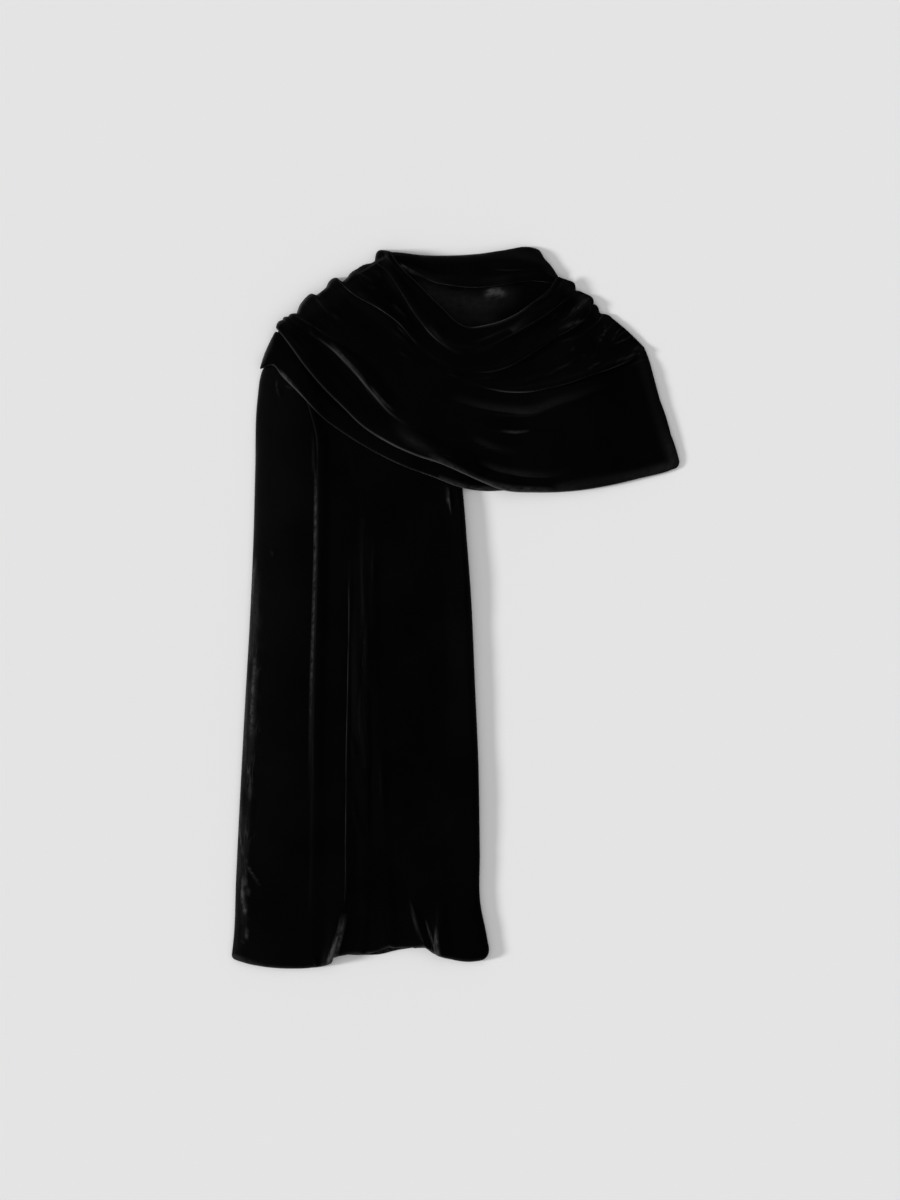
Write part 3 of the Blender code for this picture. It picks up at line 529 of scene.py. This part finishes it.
def drape(folds, share, rolls, steep, rows):
    """The plan of a pleated stretch, the lift of its folds and the roll of its edges, row by row.

    A row between two folds stands at a share of the way from one line to the next. Its lift falls from
    each crest in a half cosine over the width of the crest's side. The steep side of a fold that leans
    moves back under the crest. rolls are the widths of the rolled edges at the first and last line and
    at the two ends, where the height falls in a quarter ellipse. steep and rows are the numbers of rows
    on the steep and the gentle side of each fold, rows as one number or one for each two lines.
    """
    lines = [through(f.line, share) for f in folds]
    lifts = [even(f.lift, share) for f in folds]
    plan, lift, edge = [], [], []
    last = len(folds) - 2
    for k in range(len(folds) - 1):
        here, there = folds[k], folds[k + 1]
        across = lines[k + 1] - lines[k]
        width = np.maximum(np.linalg.norm(across, axis=1), 0.5)
        gentle = rows[k] if np.ndim(rows) else rows
        after = np.minimum(rolls[0], 0.6 * width) if k == 0 else np.minimum(here.after, 0.45 * width)
        before = np.minimum(there.before, width - after)
        if k == last:
            before = np.minimum(rolls[1], (0.6 if k else 0.35) * width)
        first_turn, last_turn = after / width, 1 - before / width
        rolled_end = [1 - before / width * s for s in EDGE_STEPS[::-1]]
        if k == 0 and k == last:
            shares = [first_turn * s for s in EDGE_STEPS] + spaced(first_turn, last_turn, gentle + 1)[1:]
            shares += rolled_end
        elif k == 0:
            shares = [first_turn * s for s in EDGE_STEPS[:-1]] + spaced(first_turn, 1, gentle)
        elif k == last:
            shares = spaced(0, first_turn, steep) + spaced(first_turn, last_turn, gentle) + rolled_end
        elif there.before < here.after:
            shares = spaced(0, last_turn, gentle) + spaced(last_turn, 1, steep)
        else:
            shares = spaced(0, first_turn, steep) + spaced(first_turn, 1, gentle)
        span = length(lines[k])
        ends = ((end_way(lines[k]), share * span), (end_way(lines[k][::-1]), (1 - share) * span))
        for t in shares:
            shift = np.zeros_like(width)
            if here.lean > 0:
                a = after / width
                lean = here.lean * after / here.after * lifts[k] / max(here.lift)
                shift -= lean * np.where(t < a, soft(t / a), 1 - soft((t - a) / (1 - a)))
            if there.lean < 0:
                b = before / width
                lean = there.lean * before / there.before * lifts[k + 1] / max(there.lift)
                shift -= lean * np.where(1 - t < b, soft((1 - t) / b), 1 - soft((1 - t - b) / (1 - b)))
            moved = t + shift / width
            if k == 0:
                moved = moved + HALF_WALL / width * (1 - t)
            if k == last:
                moved = moved - HALF_WALL / width * t
            place = lines[k] + across * moved[:, None]
            for bulge, (out, from_end) in zip(here.bulges, ends):
                fade = np.clip(1 - from_end / BULGE_REACH, 0, 1) ** 2
                far = even(bulge, np.clip(t, 0.0, 1.0)) if np.ndim(bulge) else bulge * np.sin(np.pi * t)
                place = place + out * (far * fade)[:, None]
            up = lifts[k] * (1 - soft(t * width / np.maximum(after, 0.1)))
            up = up + lifts[k + 1] * (1 - soft((1 - t) * width / np.maximum(before, 0.1)))
            down = np.ones_like(width)
            if k == 0:
                down = down * roll(t * width, after)
            if k == last:
                down = down * roll((1 - t) * width, before)
            plan.append(place)
            lift.append(up)
            edge.append(down * np.ones_like(width))
    plan, lift, edge = np.array(plan), np.array(lift), np.array(edge)
    run = running(plan, 1)
    edge = edge * roll(run, rolls[2]) * roll(run[:, -1:] - run, rolls[3])
    return plan, lift, edge


class Ground:
    """The height of what lies on the surface so far, on a plan grid."""

    def __init__(self):
        self.x = np.arange(-GRID_X, GRID_X + CELL / 2, CELL)
        self.y = np.arange(-GRID_Y, GRID_Y + CELL / 2, CELL)
        self.z = np.zeros((len(self.x), len(self.y)))

    def add(self, plan, top):
        """Marks a stretch, whose rows and columns are first made fine."""
        grid = np.dstack((plan, top))
        for axis in (0, 1):
            n = grid.shape[axis]
            gap = np.linalg.norm(np.diff(grid[..., :2], axis=axis), axis=2).max()
            fine = int(np.ceil(gap / CELL * 2)) + 1
            at = np.linspace(0, n - 1, (n - 1) * fine + 1)
            i = np.minimum(at.astype(int), n - 2)
            f = (at - i).reshape((-1, 1, 1) if axis == 0 else (1, -1, 1))
            grid = np.take(grid, i, axis) * (1 - f) + np.take(grid, i + 1, axis) * f
        i = np.rint((grid[..., 0] - self.x[0]) / CELL).astype(int)
        j = np.rint((grid[..., 1] - self.y[0]) / CELL).astype(int)
        np.maximum.at(self.z, (i, j), grid[..., 2])

    def spread(self, reach):
        """The heights with every step widened by reach and then smoothed, so that they only rise."""
        n = max(1, int(round(reach / CELL)))
        high = self.z.copy()
        for axis in (0, 1):
            high = np.max([np.roll(high, s, axis) for s in range(-n, n + 1)], axis=0)
        for axis in (0, 1):
            high = np.mean([np.roll(high, s, axis) for s in range(-n + 1, n)], axis=0)
        return high

    def under(self, plan, reach):
        """The spread height under each place of a plan."""
        high = self.spread(reach)
        u = np.clip((plan[..., 0] - self.x[0]) / CELL, 0, len(self.x) - 2)
        v = np.clip((plan[..., 1] - self.y[0]) / CELL, 0, len(self.y) - 2)
        i, j = u.astype(int), v.astype(int)
        f, g = u - i, v - j
        return (
            high[i, j] * (1 - f) * (1 - g) + high[i + 1, j] * f * (1 - g)
            + high[i, j + 1] * (1 - f) * g + high[i + 1, j + 1] * f * g
        )


def beside(plan, table, join):
    """The value that a table of lines gives to each place of a plan.

    A line gives its own value at the nearest point along it, which falls to nothing in a half cosine over
    the width of the line's side there. join puts the values of several lines together.
    """
    places = plan.reshape(-1, 2)
    total = np.zeros(len(places))
    for line_places, values, left, right in table:
        steps = max(8, int(length(line_places) / 4))
        line = through(line_places, np.linspace(0.0, 1.0, steps + 1))
        reach = max(left, right)
        near = np.all((places > line.min(0) - reach) & (places < line.max(0) + reach), axis=1)
        here = places[near][:, None]
        start, way = line[None, :-1], np.diff(line, axis=0)[None]
        t = np.clip(((here - start) * way).sum(2) / (way**2).sum(2), 0.0, 1.0)
        off = here - start - way * t[..., None]
        distance = np.linalg.norm(off, axis=2)
        nearest = distance.argmin(1)
        pick = (np.arange(len(nearest)), nearest)
        side = way[0, nearest, 0] * off[pick][:, 1] - way[0, nearest, 1] * off[pick][:, 0]
        width = np.where(side > 0, left, right)
        value = even(values, (nearest + t[pick]) / steps)
        total[near] = join(total[near], value * (1 - soft(distance[pick] / width)))
    return total.reshape(plan.shape[:2])


def painted_light_of(plan, table):
    """The painted light of each place of a plan: the palest painted highlight of the rows that apply there,
    less the dullest painted shade.
    """
    pale = [row for row in table if max(row.pale) > 0]
    dull = [row for row in table if max(row.pale) <= 0]
    return beside(plan, pale, np.maximum) + beside(plan, dull, np.minimum)


def round_corners(plan, radii):
    """The plan with its corners rounded: first line start and end, last line start and end.

    A place nearer than the radius to the first or last line moves back from the end by what a quarter
    circle leaves there, less and less over three radii from the end.
    """
    down, run = running(plan, 0), running(plan, 1)
    result = plan.copy()
    for number, radius in enumerate(radii):
        if not radius:
            continue
        from_line = down if number < 2 else down[-1:] - down
        from_end = run if number % 2 == 0 else run[:, -1:] - run
        back = radius - np.sqrt(radius**2 - np.clip(radius - from_line, 0.0, radius) ** 2)
        back = back * (1 - soft(from_end / (3 * radius)))
        end, column = (0, CORNER_COLUMN) if number % 2 == 0 else (-1, -1 - CORNER_COLUMN)
        inner = plan[:, [column]] - plan[:, [end]]
        inner = inner / np.linalg.norm(inner, axis=2, keepdims=True)
        result = result + inner * back[..., None]
    return result


def wander(shape, across, along, seed):
    """A smooth random surface from -1 to 1, with so many waves over the rows and over the columns.

    Seeded values on a coarse grid, joined by half cosines.
    """
    values = np.random.default_rng(seed).uniform(-1, 1, (across + 2, along + 2))
    u = np.linspace(0, across, shape[0])
    v = np.linspace(0, along, shape[1])
    i, j = u.astype(int), v.astype(int)
    f, g = soft(u - i)[:, None], soft(v - j)[None]
    low = values[i][:, j] * (1 - g) + values[i][:, j + 1] * g
    high = values[i + 1][:, j] * (1 - g) + values[i + 1][:, j + 1] * g
    return low * (1 - f) + high * f


def uneven_hem(plan, waves, most, seed):
    """The plan with its last end moved in and out along y by up to most, in so many waves.

    A smooth random line, times a bell of HEM_REACH from that end.
    """
    run = running(plan, 1)
    result = plan.copy()
    result[..., 1] += most * bell(run[:, -1:] - run, HEM_REACH) * wander(plan.shape, waves, 1, seed)
    return result


def bell(distance, width):
    """1 at no distance, falling off on both sides as a Gaussian curve of that width."""
    return np.exp(-((distance / width) ** 2))


def above(plan, y, over):
    """0 up to y and 1 from over beyond it, toward the neck, as a half cosine."""
    return soft((plan[..., 1] - y) / over)


def below(plan, y, over):
    """The same toward the hem."""
    return soft((y - plan[..., 1]) / over)


def bedded(lies_on, gap, edge):
    """The height of a stretch's middle where it lies, 0.3 of its half wall at the foot of a rolled edge."""
    return lies_on + gap + HALF_WALL * (0.3 + 0.7 * edge)


def left_crinkle(plan):
    """How crinkled the tail is beside its left edge, from 0 to about 1.

    A bell round SEAM_INSIDE from the edge, wider on the far side, times a smooth random line. It comes
    in below the drape and is weaker again near the hem.
    """
    inside = running(plan, 0) - SEAM_INSIDE
    seam = bell(inside, np.where(inside > 0.0, *SEAM_WIDTHS)) * below(plan, 60.0, 140.0)
    seam = seam * (0.8 + 0.4 * wander(plan.shape, 2, 34, 10))
    return seam * (1.0 - 0.7 * below(plan, -370.0, 40.0))


def add_mesh(name, points, faces, chart, painted_light, crush, finish):
    """A smooth mesh with its flat chart, in metres, as its UV map, its painted highlights and shade, and how
    crushed its pile is.
    """
    mesh = bpy.data.meshes.new(name)
    mesh.from_pydata((np.asarray(points) * MM).tolist(), [], faces)
    mesh.update()
    mesh.shade_smooth()
    corner = np.empty(len(mesh.loops), int)
    mesh.loops.foreach_get("vertex_index", corner)
    layer = mesh.uv_layers.new(name="cloth")
    layer.data.foreach_set("uv", (np.asarray(chart)[corner] * MM).ravel())
    for kind, values in (("painted_light", painted_light), ("crush", crush)):
        layer = mesh.attributes.new(kind, "FLOAT", "POINT")
        layer.data.foreach_set("value", np.broadcast_to(np.ravel(values), len(points)))
    mesh.materials.append(finish)
    thing = bpy.data.objects.new(name, mesh)
    bpy.context.scene.collection.objects.link(thing)
    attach(thing, "root")
    return thing


def add_cloth(name, plan, height, painted_light, crush, finish):
    """A stretch of cloth: an open surface of rows and columns, made solid by its wall."""
    rows, columns = height.shape
    grid = np.dstack((plan, height))
    points = grid.reshape(-1, 3)
    at = np.arange(rows * columns).reshape(rows, columns)
    corners = np.stack((at[:-1, :-1], at[:-1, 1:], at[1:, 1:], at[1:, :-1]), axis=-1).reshape(-1, 4)
    a, b, c = points[corners[:, 0]], points[corners[:, 1]], points[corners[:, 2]]
    if np.cross(b - a, c - a)[:, 2].sum() < 0:
        corners = corners[:, ::-1]
    across = running(grid, 0)
    across = np.broadcast_to(across.mean(axis=1, keepdims=True), across.shape)
    chart = np.dstack((across, running(grid, 1))).reshape(-1, 2)
    thing = add_mesh(name, points, corners.tolist(), chart, painted_light, crush, finish)
    wall = thing.modifiers.new("Wall", "SOLIDIFY")
    wall.thickness = WALL * MM
    wall.offset = 0.0
    wall.use_even_offset = False
    return thing


def layered_stack(around=256):
    """The hidden layers as one closed surface: rounded layers at its side, a soft top, a flat underside.

    Rings of points run round the outline. Each layer's side is a half circle, and the top rises in a
    half cosine toward the middle.
    """
    table = np.array(LAYERS, float)
    closed = np.vstack((table[-2:], table, table[:2]))
    steps = np.linalg.norm(np.diff(closed[:, :2], axis=0), axis=1)
    along = np.concatenate(([0.0], np.cumsum(steps)))
    start, end = along[2], along[-2]
    share = (start + (end - start) * np.arange(around) / around) / along[-1]
    ring = through(closed, share)
    outline, rim = ring[:, :2], ring[:, 2]
    middle = np.array(LAYER_MIDDLE)
    inward = middle - outline
    inward = inward / np.linalg.norm(inward, axis=1)[:, None]
    rows = []
    for layer in range(LAYER_COUNT):
        for part in np.arange(LAYER_ROWS) / LAYER_ROWS:
            level = rim * (layer + part) / LAYER_COUNT
            inset = LAYER_SET_BACK * layer + LAYER_ROUND * (1 - np.sin(np.pi * part))
            rows.append(np.column_stack((outline + inward * inset, level)))
    rim_ring = outline + inward * (1.2 + LAYER_SET_BACK * LAYER_COUNT)
    rows.append(np.column_stack((rim_ring, rim)))
    for step in np.linspace(0.0, 0.95, 25)[1:]:
        place = rim_ring + (middle - rim_ring) * step
        rows.append(np.column_stack((place, rim + (LAYER_TOP - rim) * soft(step / 0.7))))
    points = np.vstack(rows + [[[*middle, LAYER_TOP], [*middle, 0.0]]])
    at = np.arange(len(rows) * around).reshape(len(rows), around)
    turned = np.roll(at, -1, axis=1)
    sides = np.stack((at[:-1], turned[:-1], turned[1:], at[1:]), axis=-1).reshape(-1, 4)
    crown, foot = len(points) - 2, len(points) - 1
    cap = np.stack((at[-1], turned[-1], np.full(around, crown)), axis=-1)
    sole = np.stack((turned[0], at[0], np.full(around, foot)), axis=-1)
    faces = sides.tolist() + cap.tolist() + sole.tolist()
    x, y = outline.T
    if np.sum(x * np.roll(y, -1) - y * np.roll(x, -1)) < 0:
        faces = [face[::-1] for face in faces]
    top = np.array(rows[LAYER_COUNT * LAYER_ROWS:])
    top = np.concatenate((top, top[:, :1]), axis=1)
    top = np.concatenate((top, np.broadcast_to([*middle, LAYER_TOP], top[:1].shape)), axis=0)
    return points, faces, top


def velvet(name):
    """Black velvet: a nearly black ground, with a painted sheen in its colour where a slope is seen from its
    side.

    Slopes that face toward the key light get more of that painted sheen than those that face away, as
    painted light and shade. The painted light attribute adds painted highlights, in streaks, or takes the
    painted sheen from a slope as painted shade. Crushed places have the deepest dents, and fine wrinkle
    lines that are painted paler there as glints.
    """
    material = bpy.data.materials.new(name)
    material.use_nodes = True
    nodes, links = material.node_tree.nodes, material.node_tree.links
    shader = nodes["Principled BSDF"]
    shader.inputs["Roughness"].default_value = 0.9
    shader.inputs["Specular IOR Level"].default_value = 0.0
    shader.inputs["Sheen Weight"].default_value = SHEEN
    shader.inputs["Sheen Roughness"].default_value = 0.3
    shader.inputs["Sheen Tint"].default_value = (0.95, 0.96, 1.0, 1.0)

    def node(kind, **values):
        made = nodes.new(kind)
        for key, value in values.items():
            setattr(made, key, value)
        return made

    def maths(operation, first, second):
        made = node("ShaderNodeMath", operation=operation)
        for slot, value in zip(made.inputs, (first, second)):
            if isinstance(value, (int, float)):
                slot.default_value = value
            else:
                links.new(value, slot)
        return made.outputs["Value"]

    def noise(vector, scale, detail, rough=0.5):
        made = node("ShaderNodeTexNoise")
        made.inputs["Scale"].default_value = scale
        made.inputs["Detail"].default_value = detail
        made.inputs["Roughness"].default_value = rough
        links.new(vector, made.inputs["Vector"])
        return made.outputs["Fac"]

    def ranged(value, low, high, to_low, to_high):
        made = node("ShaderNodeMapRange")
        made.inputs["From Min"].default_value = low
        made.inputs["From Max"].default_value = high
        made.inputs["To Min"].default_value = to_low
        made.inputs["To Max"].default_value = to_high
        links.new(value, made.inputs["Value"])
        return made.outputs["Result"]

    def mixed(factor, first, second):
        made = node("ShaderNodeMix", data_type="RGBA")
        links.new(factor, made.inputs["Factor"])
        for slot, value in ((6, first), (7, second)):  # the node's colours come after its numbers
            if isinstance(value, tuple):
                made.inputs[slot].default_value = value
            else:
                links.new(value, made.inputs[slot])
        return made.outputs[2]

    def bump(height, distance, strength, normal=None):
        made = node("ShaderNodeBump")
        made.inputs["Strength"].default_value = strength
        made.inputs["Distance"].default_value = distance
        links.new(height, made.inputs["Height"])
        if normal is not None:
            links.new(normal, made.inputs["Normal"])
        return made.outputs["Normal"]

    def drawn(vector, share):
        made = node("ShaderNodeMapping")
        made.inputs["Scale"].default_value = (1.0, share, 1.0)
        links.new(vector, made.inputs["Vector"])
        return made.outputs["Vector"]

    place = node("ShaderNodeTexCoord")
    chart = node("ShaderNodeUVMap", uv_map="cloth")
    mottled, along, lengthwise = (drawn(chart.outputs["UV"], share) for share in (0.6, 0.35, 0.08))
    # The painted highlights, above nothing, and the painted shade, below nothing, of each point
    painted_light_value = node("ShaderNodeAttribute", attribute_name="painted_light").outputs["Fac"]
    crushed = node("ShaderNodeAttribute", attribute_name="crush").outputs["Fac"]

    # Painted glints: fine wrinkle lines where a noise crosses its middle value, longer along the folds
    middle = maths("ABSOLUTE", maths("SUBTRACT", noise(lengthwise, WRINKLE_SCALE, 2.0), 0.5), 0.0)
    wrinkle_glints = ranged(middle, 0.0, 0.03, 1.0, 0.0)
    wrinkle_glints = maths("MULTIPLY", wrinkle_glints, ranged(noise(along, PATCH_SCALE, 1.0), 0.45, 0.6, 0.0, 1.0))

    # Dents of the crushed pile, and the fibre ends
    deeper = maths("ADD", maths("MULTIPLY", crushed, 2.4), 0.4)
    dents = maths("MULTIPLY", noise(along, DENT_SCALE, 3.0, 0.6), deeper)
    dented = bump(dents, DENT_DEPTH, 1.0)
    fine = bump(noise(place.outputs["Object"], FIBRE_SCALE, 1.0), FIBRE_DEPTH, 0.25, dented)
    links.new(fine, shader.inputs["Normal"])

    # The ground, a little lighter and darker in patches
    tone = ranged(noise(place.outputs["Object"], GROUND_SCALE, 3.0), 0.3, 0.75, 0.0, 1.0)
    backing = mixed(tone, DARK_GROUND, LIGHT_GROUND)

    # Painted sheen: the colour turns paler where a slope is seen from its side, in uneven patches, and loses
    # that where the painted light attribute is below nothing, as painted shade
    aside = node("ShaderNodeLayerWeight")
    aside.inputs["Blend"].default_value = 0.5
    links.new(dented, aside.inputs["Normal"])
    # Painted light and shade: slopes that face toward the key light get more of the painted sheen than those
    # that face away
    toward = node("ShaderNodeVectorMath", operation="DOT_PRODUCT")
    links.new(place.outputs["Normal"], toward.inputs[0])
    toward.inputs[1].default_value = LIT_SLOPE_WAY
    lit_side = ranged(toward.outputs["Value"], -0.35, 0.55, 0.12, 1.0)
    uneven = ranged(noise(along, PATCH_SCALE, 3.0), 0.35, 0.62, 0.42, 1.1)
    seen = maths("POWER", aside.outputs["Facing"], 2.0)
    seen = maths("MULTIPLY", maths("MULTIPLY", seen, lit_side), uneven)
    seen = maths("MULTIPLY", seen, maths("ADD", maths("MINIMUM", painted_light_value, 0.0), 1.0))
    sheen = mixed(seen, backing, PAINTED_SHEEN_TONE)

    # Painted highlights and painted sheen in patches and lines, in streaks that break up more the paler they
    # are
    streaks = ranged(noise(mottled, STREAK_SCALE, 3.0, 0.6), 0.34, 0.66, 0.25, 1.75)
    pale = maths("MAXIMUM", painted_light_value, 0.0)
    contrast = maths("MINIMUM", maths("MULTIPLY", pale, 3.0), 1.0)
    broken = maths("ADD", maths("MULTIPLY", contrast, maths("SUBTRACT", streaks, 1.0)), 1.0)
    pale = maths("MULTIPLY", pale, broken)
    # Painted glints along the fine wrinkles where the pile is crushed
    pale = maths("ADD", pale, maths("MULTIPLY", maths("MULTIPLY", wrinkle_glints, crushed), 0.25))
    links.new(mixed(pale, sheen, PAINTED_HIGHLIGHT_TONE), shader.inputs["Base Color"])
    return material


def stage():
    """A plain pale floor, soft even light all round and from above, and a key light low from the left."""
    mesh = bpy.data.meshes.new("floor")
    mesh.from_pydata([(-12, -12, 0), (12, -12, 0), (12, 12, 0), (-12, 12, 0)], [], [(0, 1, 2, 3)])
    floor = bpy.data.objects.new("floor", mesh)
    bpy.context.scene.collection.objects.link(floor)
    paper = bpy.data.materials.new("pale_floor")
    paper.use_nodes = True
    shader = paper.node_tree.nodes["Principled BSDF"]
    shader.inputs["Base Color"].default_value = (0.8, 0.8, 0.8, 1.0)
    shader.inputs["Roughness"].default_value = 1.0
    shader.inputs["Specular IOR Level"].default_value = 0.0
    mesh.materials.append(paper)

    world = bpy.data.worlds.new("studio")
    world.use_nodes = True
    sky = world.node_tree.nodes["Background"]
    sky.inputs["Color"].default_value = (1.0, 1.0, 1.0, 1.0)
    sky.inputs["Strength"].default_value = SKY
    bpy.context.scene.world = world
    for name, way, energy, angle in LAMPS:
        lamp = bpy.data.lights.new(name, "SUN")
        lamp.energy = energy
        lamp.angle = np.radians(angle)
        holder = bpy.data.objects.new(name, lamp)
        holder.rotation_mode = "QUATERNION"
        holder.rotation_quaternion = Vector(way).to_track_quat("-Z", "Y")
        bpy.context.scene.collection.objects.link(holder)


def camera():
    """A camera that looks straight down on the scarf, as the picture was taken."""
    eye = bpy.data.cameras.new("from_above")
    eye.sensor_width = 36.0
    eye.lens = eye.sensor_width * CAMERA_PLACE[2] / FRAME_HEIGHT
    eye.clip_end = 100.0
    holder = bpy.data.objects.new("from_above", eye)
    holder.location = CAMERA_PLACE
    bpy.context.scene.collection.objects.link(holder)
    bpy.context.scene.camera = holder


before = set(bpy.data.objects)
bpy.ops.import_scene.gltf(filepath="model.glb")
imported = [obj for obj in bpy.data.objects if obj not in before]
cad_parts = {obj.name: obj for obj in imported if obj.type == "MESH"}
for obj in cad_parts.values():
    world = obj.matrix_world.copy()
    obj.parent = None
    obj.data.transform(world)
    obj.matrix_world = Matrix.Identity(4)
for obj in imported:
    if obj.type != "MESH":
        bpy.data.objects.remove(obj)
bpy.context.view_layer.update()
ground = Ground()
pile = velvet("black_velvet")

# The under panel of the tail, flat on the surface
share = stations(160, 3, 6, TAIL_LENGTH)
plan = drape(BACK, share, (5, 5, 3, 6), 6, 10)[0]
plan = uneven_hem(plan, 22, 1.2, 9)
height = np.full(plan.shape[:2], HALF_WALL)
# The under panel gets an even painted sheen, paler all over
tail_back = add_cloth("under_panel", plan, height, 0.3, 0.0, pile)
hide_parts("tail_back")
ground.add(plan, height + HALF_WALL)

# The layers that lie hidden beside it
points, faces, top = layered_stack()
stack = add_mesh("hidden_layers", points, faces, points[:, :2], 0.0, 0.0, pile)
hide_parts("folded_layers")
ground.add(top[..., :2], top[..., 2])

# The upper panel of the tail
share = stations(290, 6, 10, TAIL_LENGTH)
plan, lift, edge = drape(TAIL, share, (16, 9, 6, 6), 9, (24, 9, 9, 9, 9, 9, 9))
plan = round_corners(plan, (0, 4, 0, 12))
plan = uneven_hem(plan, 26, 0.9, 8)
seam = left_crinkle(plan)
crinkle = wander(plan.shape, 46, 22, 4) + 0.7 * wander(plan.shape, 60, 60, 5)
ripple = 0.7 * wander(plan.shape, 9, 9, 6) + 0.25 * wander(plan.shape, 26, 40, 7)
raised = HEM_RISE * bell(plan[..., 0] - DIP_X, DIP_WIDTH) * below(plan, -400.0, 50.0)
height = bedded(WALL, GAP, edge) + raised
height = height + edge * (even(TAIL_PUFF, share) + lift + beside(plan, TAIL_CREASES, np.add) + ripple)
height = height + np.clip(edge, 0.0, 0.6) * seam * crinkle
# Painted highlights and painted shade of the tail, and painted sheen on the crinkles beside its left edge
painted_light = painted_light_of(plan, TAIL_PAINTED_LIGHT) + 0.1 * seam * np.clip(crinkle, 0.0, 1.0)
tail_face = add_cloth("hanging_end", plan, height, painted_light, SEAM_CRUSH * seam, pile)
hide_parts("tail_face")
ground.add(plan, height + HALF_WALL)

# The lowest pleat of the drape, over the tail
share = stations(150, 12, 10, length(UNDER[-1].line))
plan, _, edge = drape(UNDER, share, (6, 2.5, 8, 8), 6, 12)
height = bedded(ground.under(plan, 6), GAP, edge) + edge * even(UNDER_PUFF, share)
under_fold = add_cloth("lowest_pleat", plan, height, painted_light_of(plan, UNDER_PAINTED_LIGHT), 0.0, pile)
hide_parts("under_fold")
ground.add(plan, height + HALF_WALL)

# The stretch behind the neck
share = stations(110, 5, 12, NECK_LENGTH)
plan, lift, edge = drape(NECK, share, (12, 8, 5, 12), 8, 8)
height = bedded(ground.under(plan, 4), NECK_GAP, edge)
height = height + edge * (even(NECK_PUFF, share) + lift + beside(plan, NECK_CREASES, np.add))
neck_band = add_cloth("behind_the_neck", plan, height, painted_light_of(plan, NECK_PAINTED_LIGHT), 0.0, pile)
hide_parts("neck_band")
ground.add(plan, height + HALF_WALL)

# The front drape, over all of them
share = stations(244, 6, 8, SWAG_LENGTH)
plan, lift, edge = drape(SWAG, share, (5, 2.5, 6, 8), 9, (12, 12, 26, 12, 12, 12, 12))
plan = round_corners(plan, (0, 0, 0, 7))
run = running(plan, 1)
corner = bell(run, 14.0) * above(plan, 425.0, 15.0)  # by the neck it lies closer
low = ground.under(plan, 8) * (1 - corner) + ground.under(plan, 2) * corner
left_gathers = 0.4 * np.exp(-run / 30.0)
right_gathers = np.exp(-(run[:, -1:] - run) / 38.0) * above(plan, 300.0, 40.0)
gathers = left_gathers + right_gathers
ripple = 0.7 * wander(plan.shape, 14, 12, 1) + gathers * 1.5 * wander(plan.shape, 44, 26, 2)
ripple = ripple + 0.25 * wander(plan.shape, 40, 44, 3)
height = bedded(low, SWAG_GAP, edge)
height = height + edge * (even(SWAG_PUFF, share) + lift + beside(plan, SWAG_CREASES, np.add) + ripple)
chest_swag = add_cloth("front_drape", plan, height, painted_light_of(plan, SWAG_PAINTED_LIGHT), gathers, pile)
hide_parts("chest_swag")

camera()
stage()
bpy.context.scene.view_settings.view_transform = "Standard"
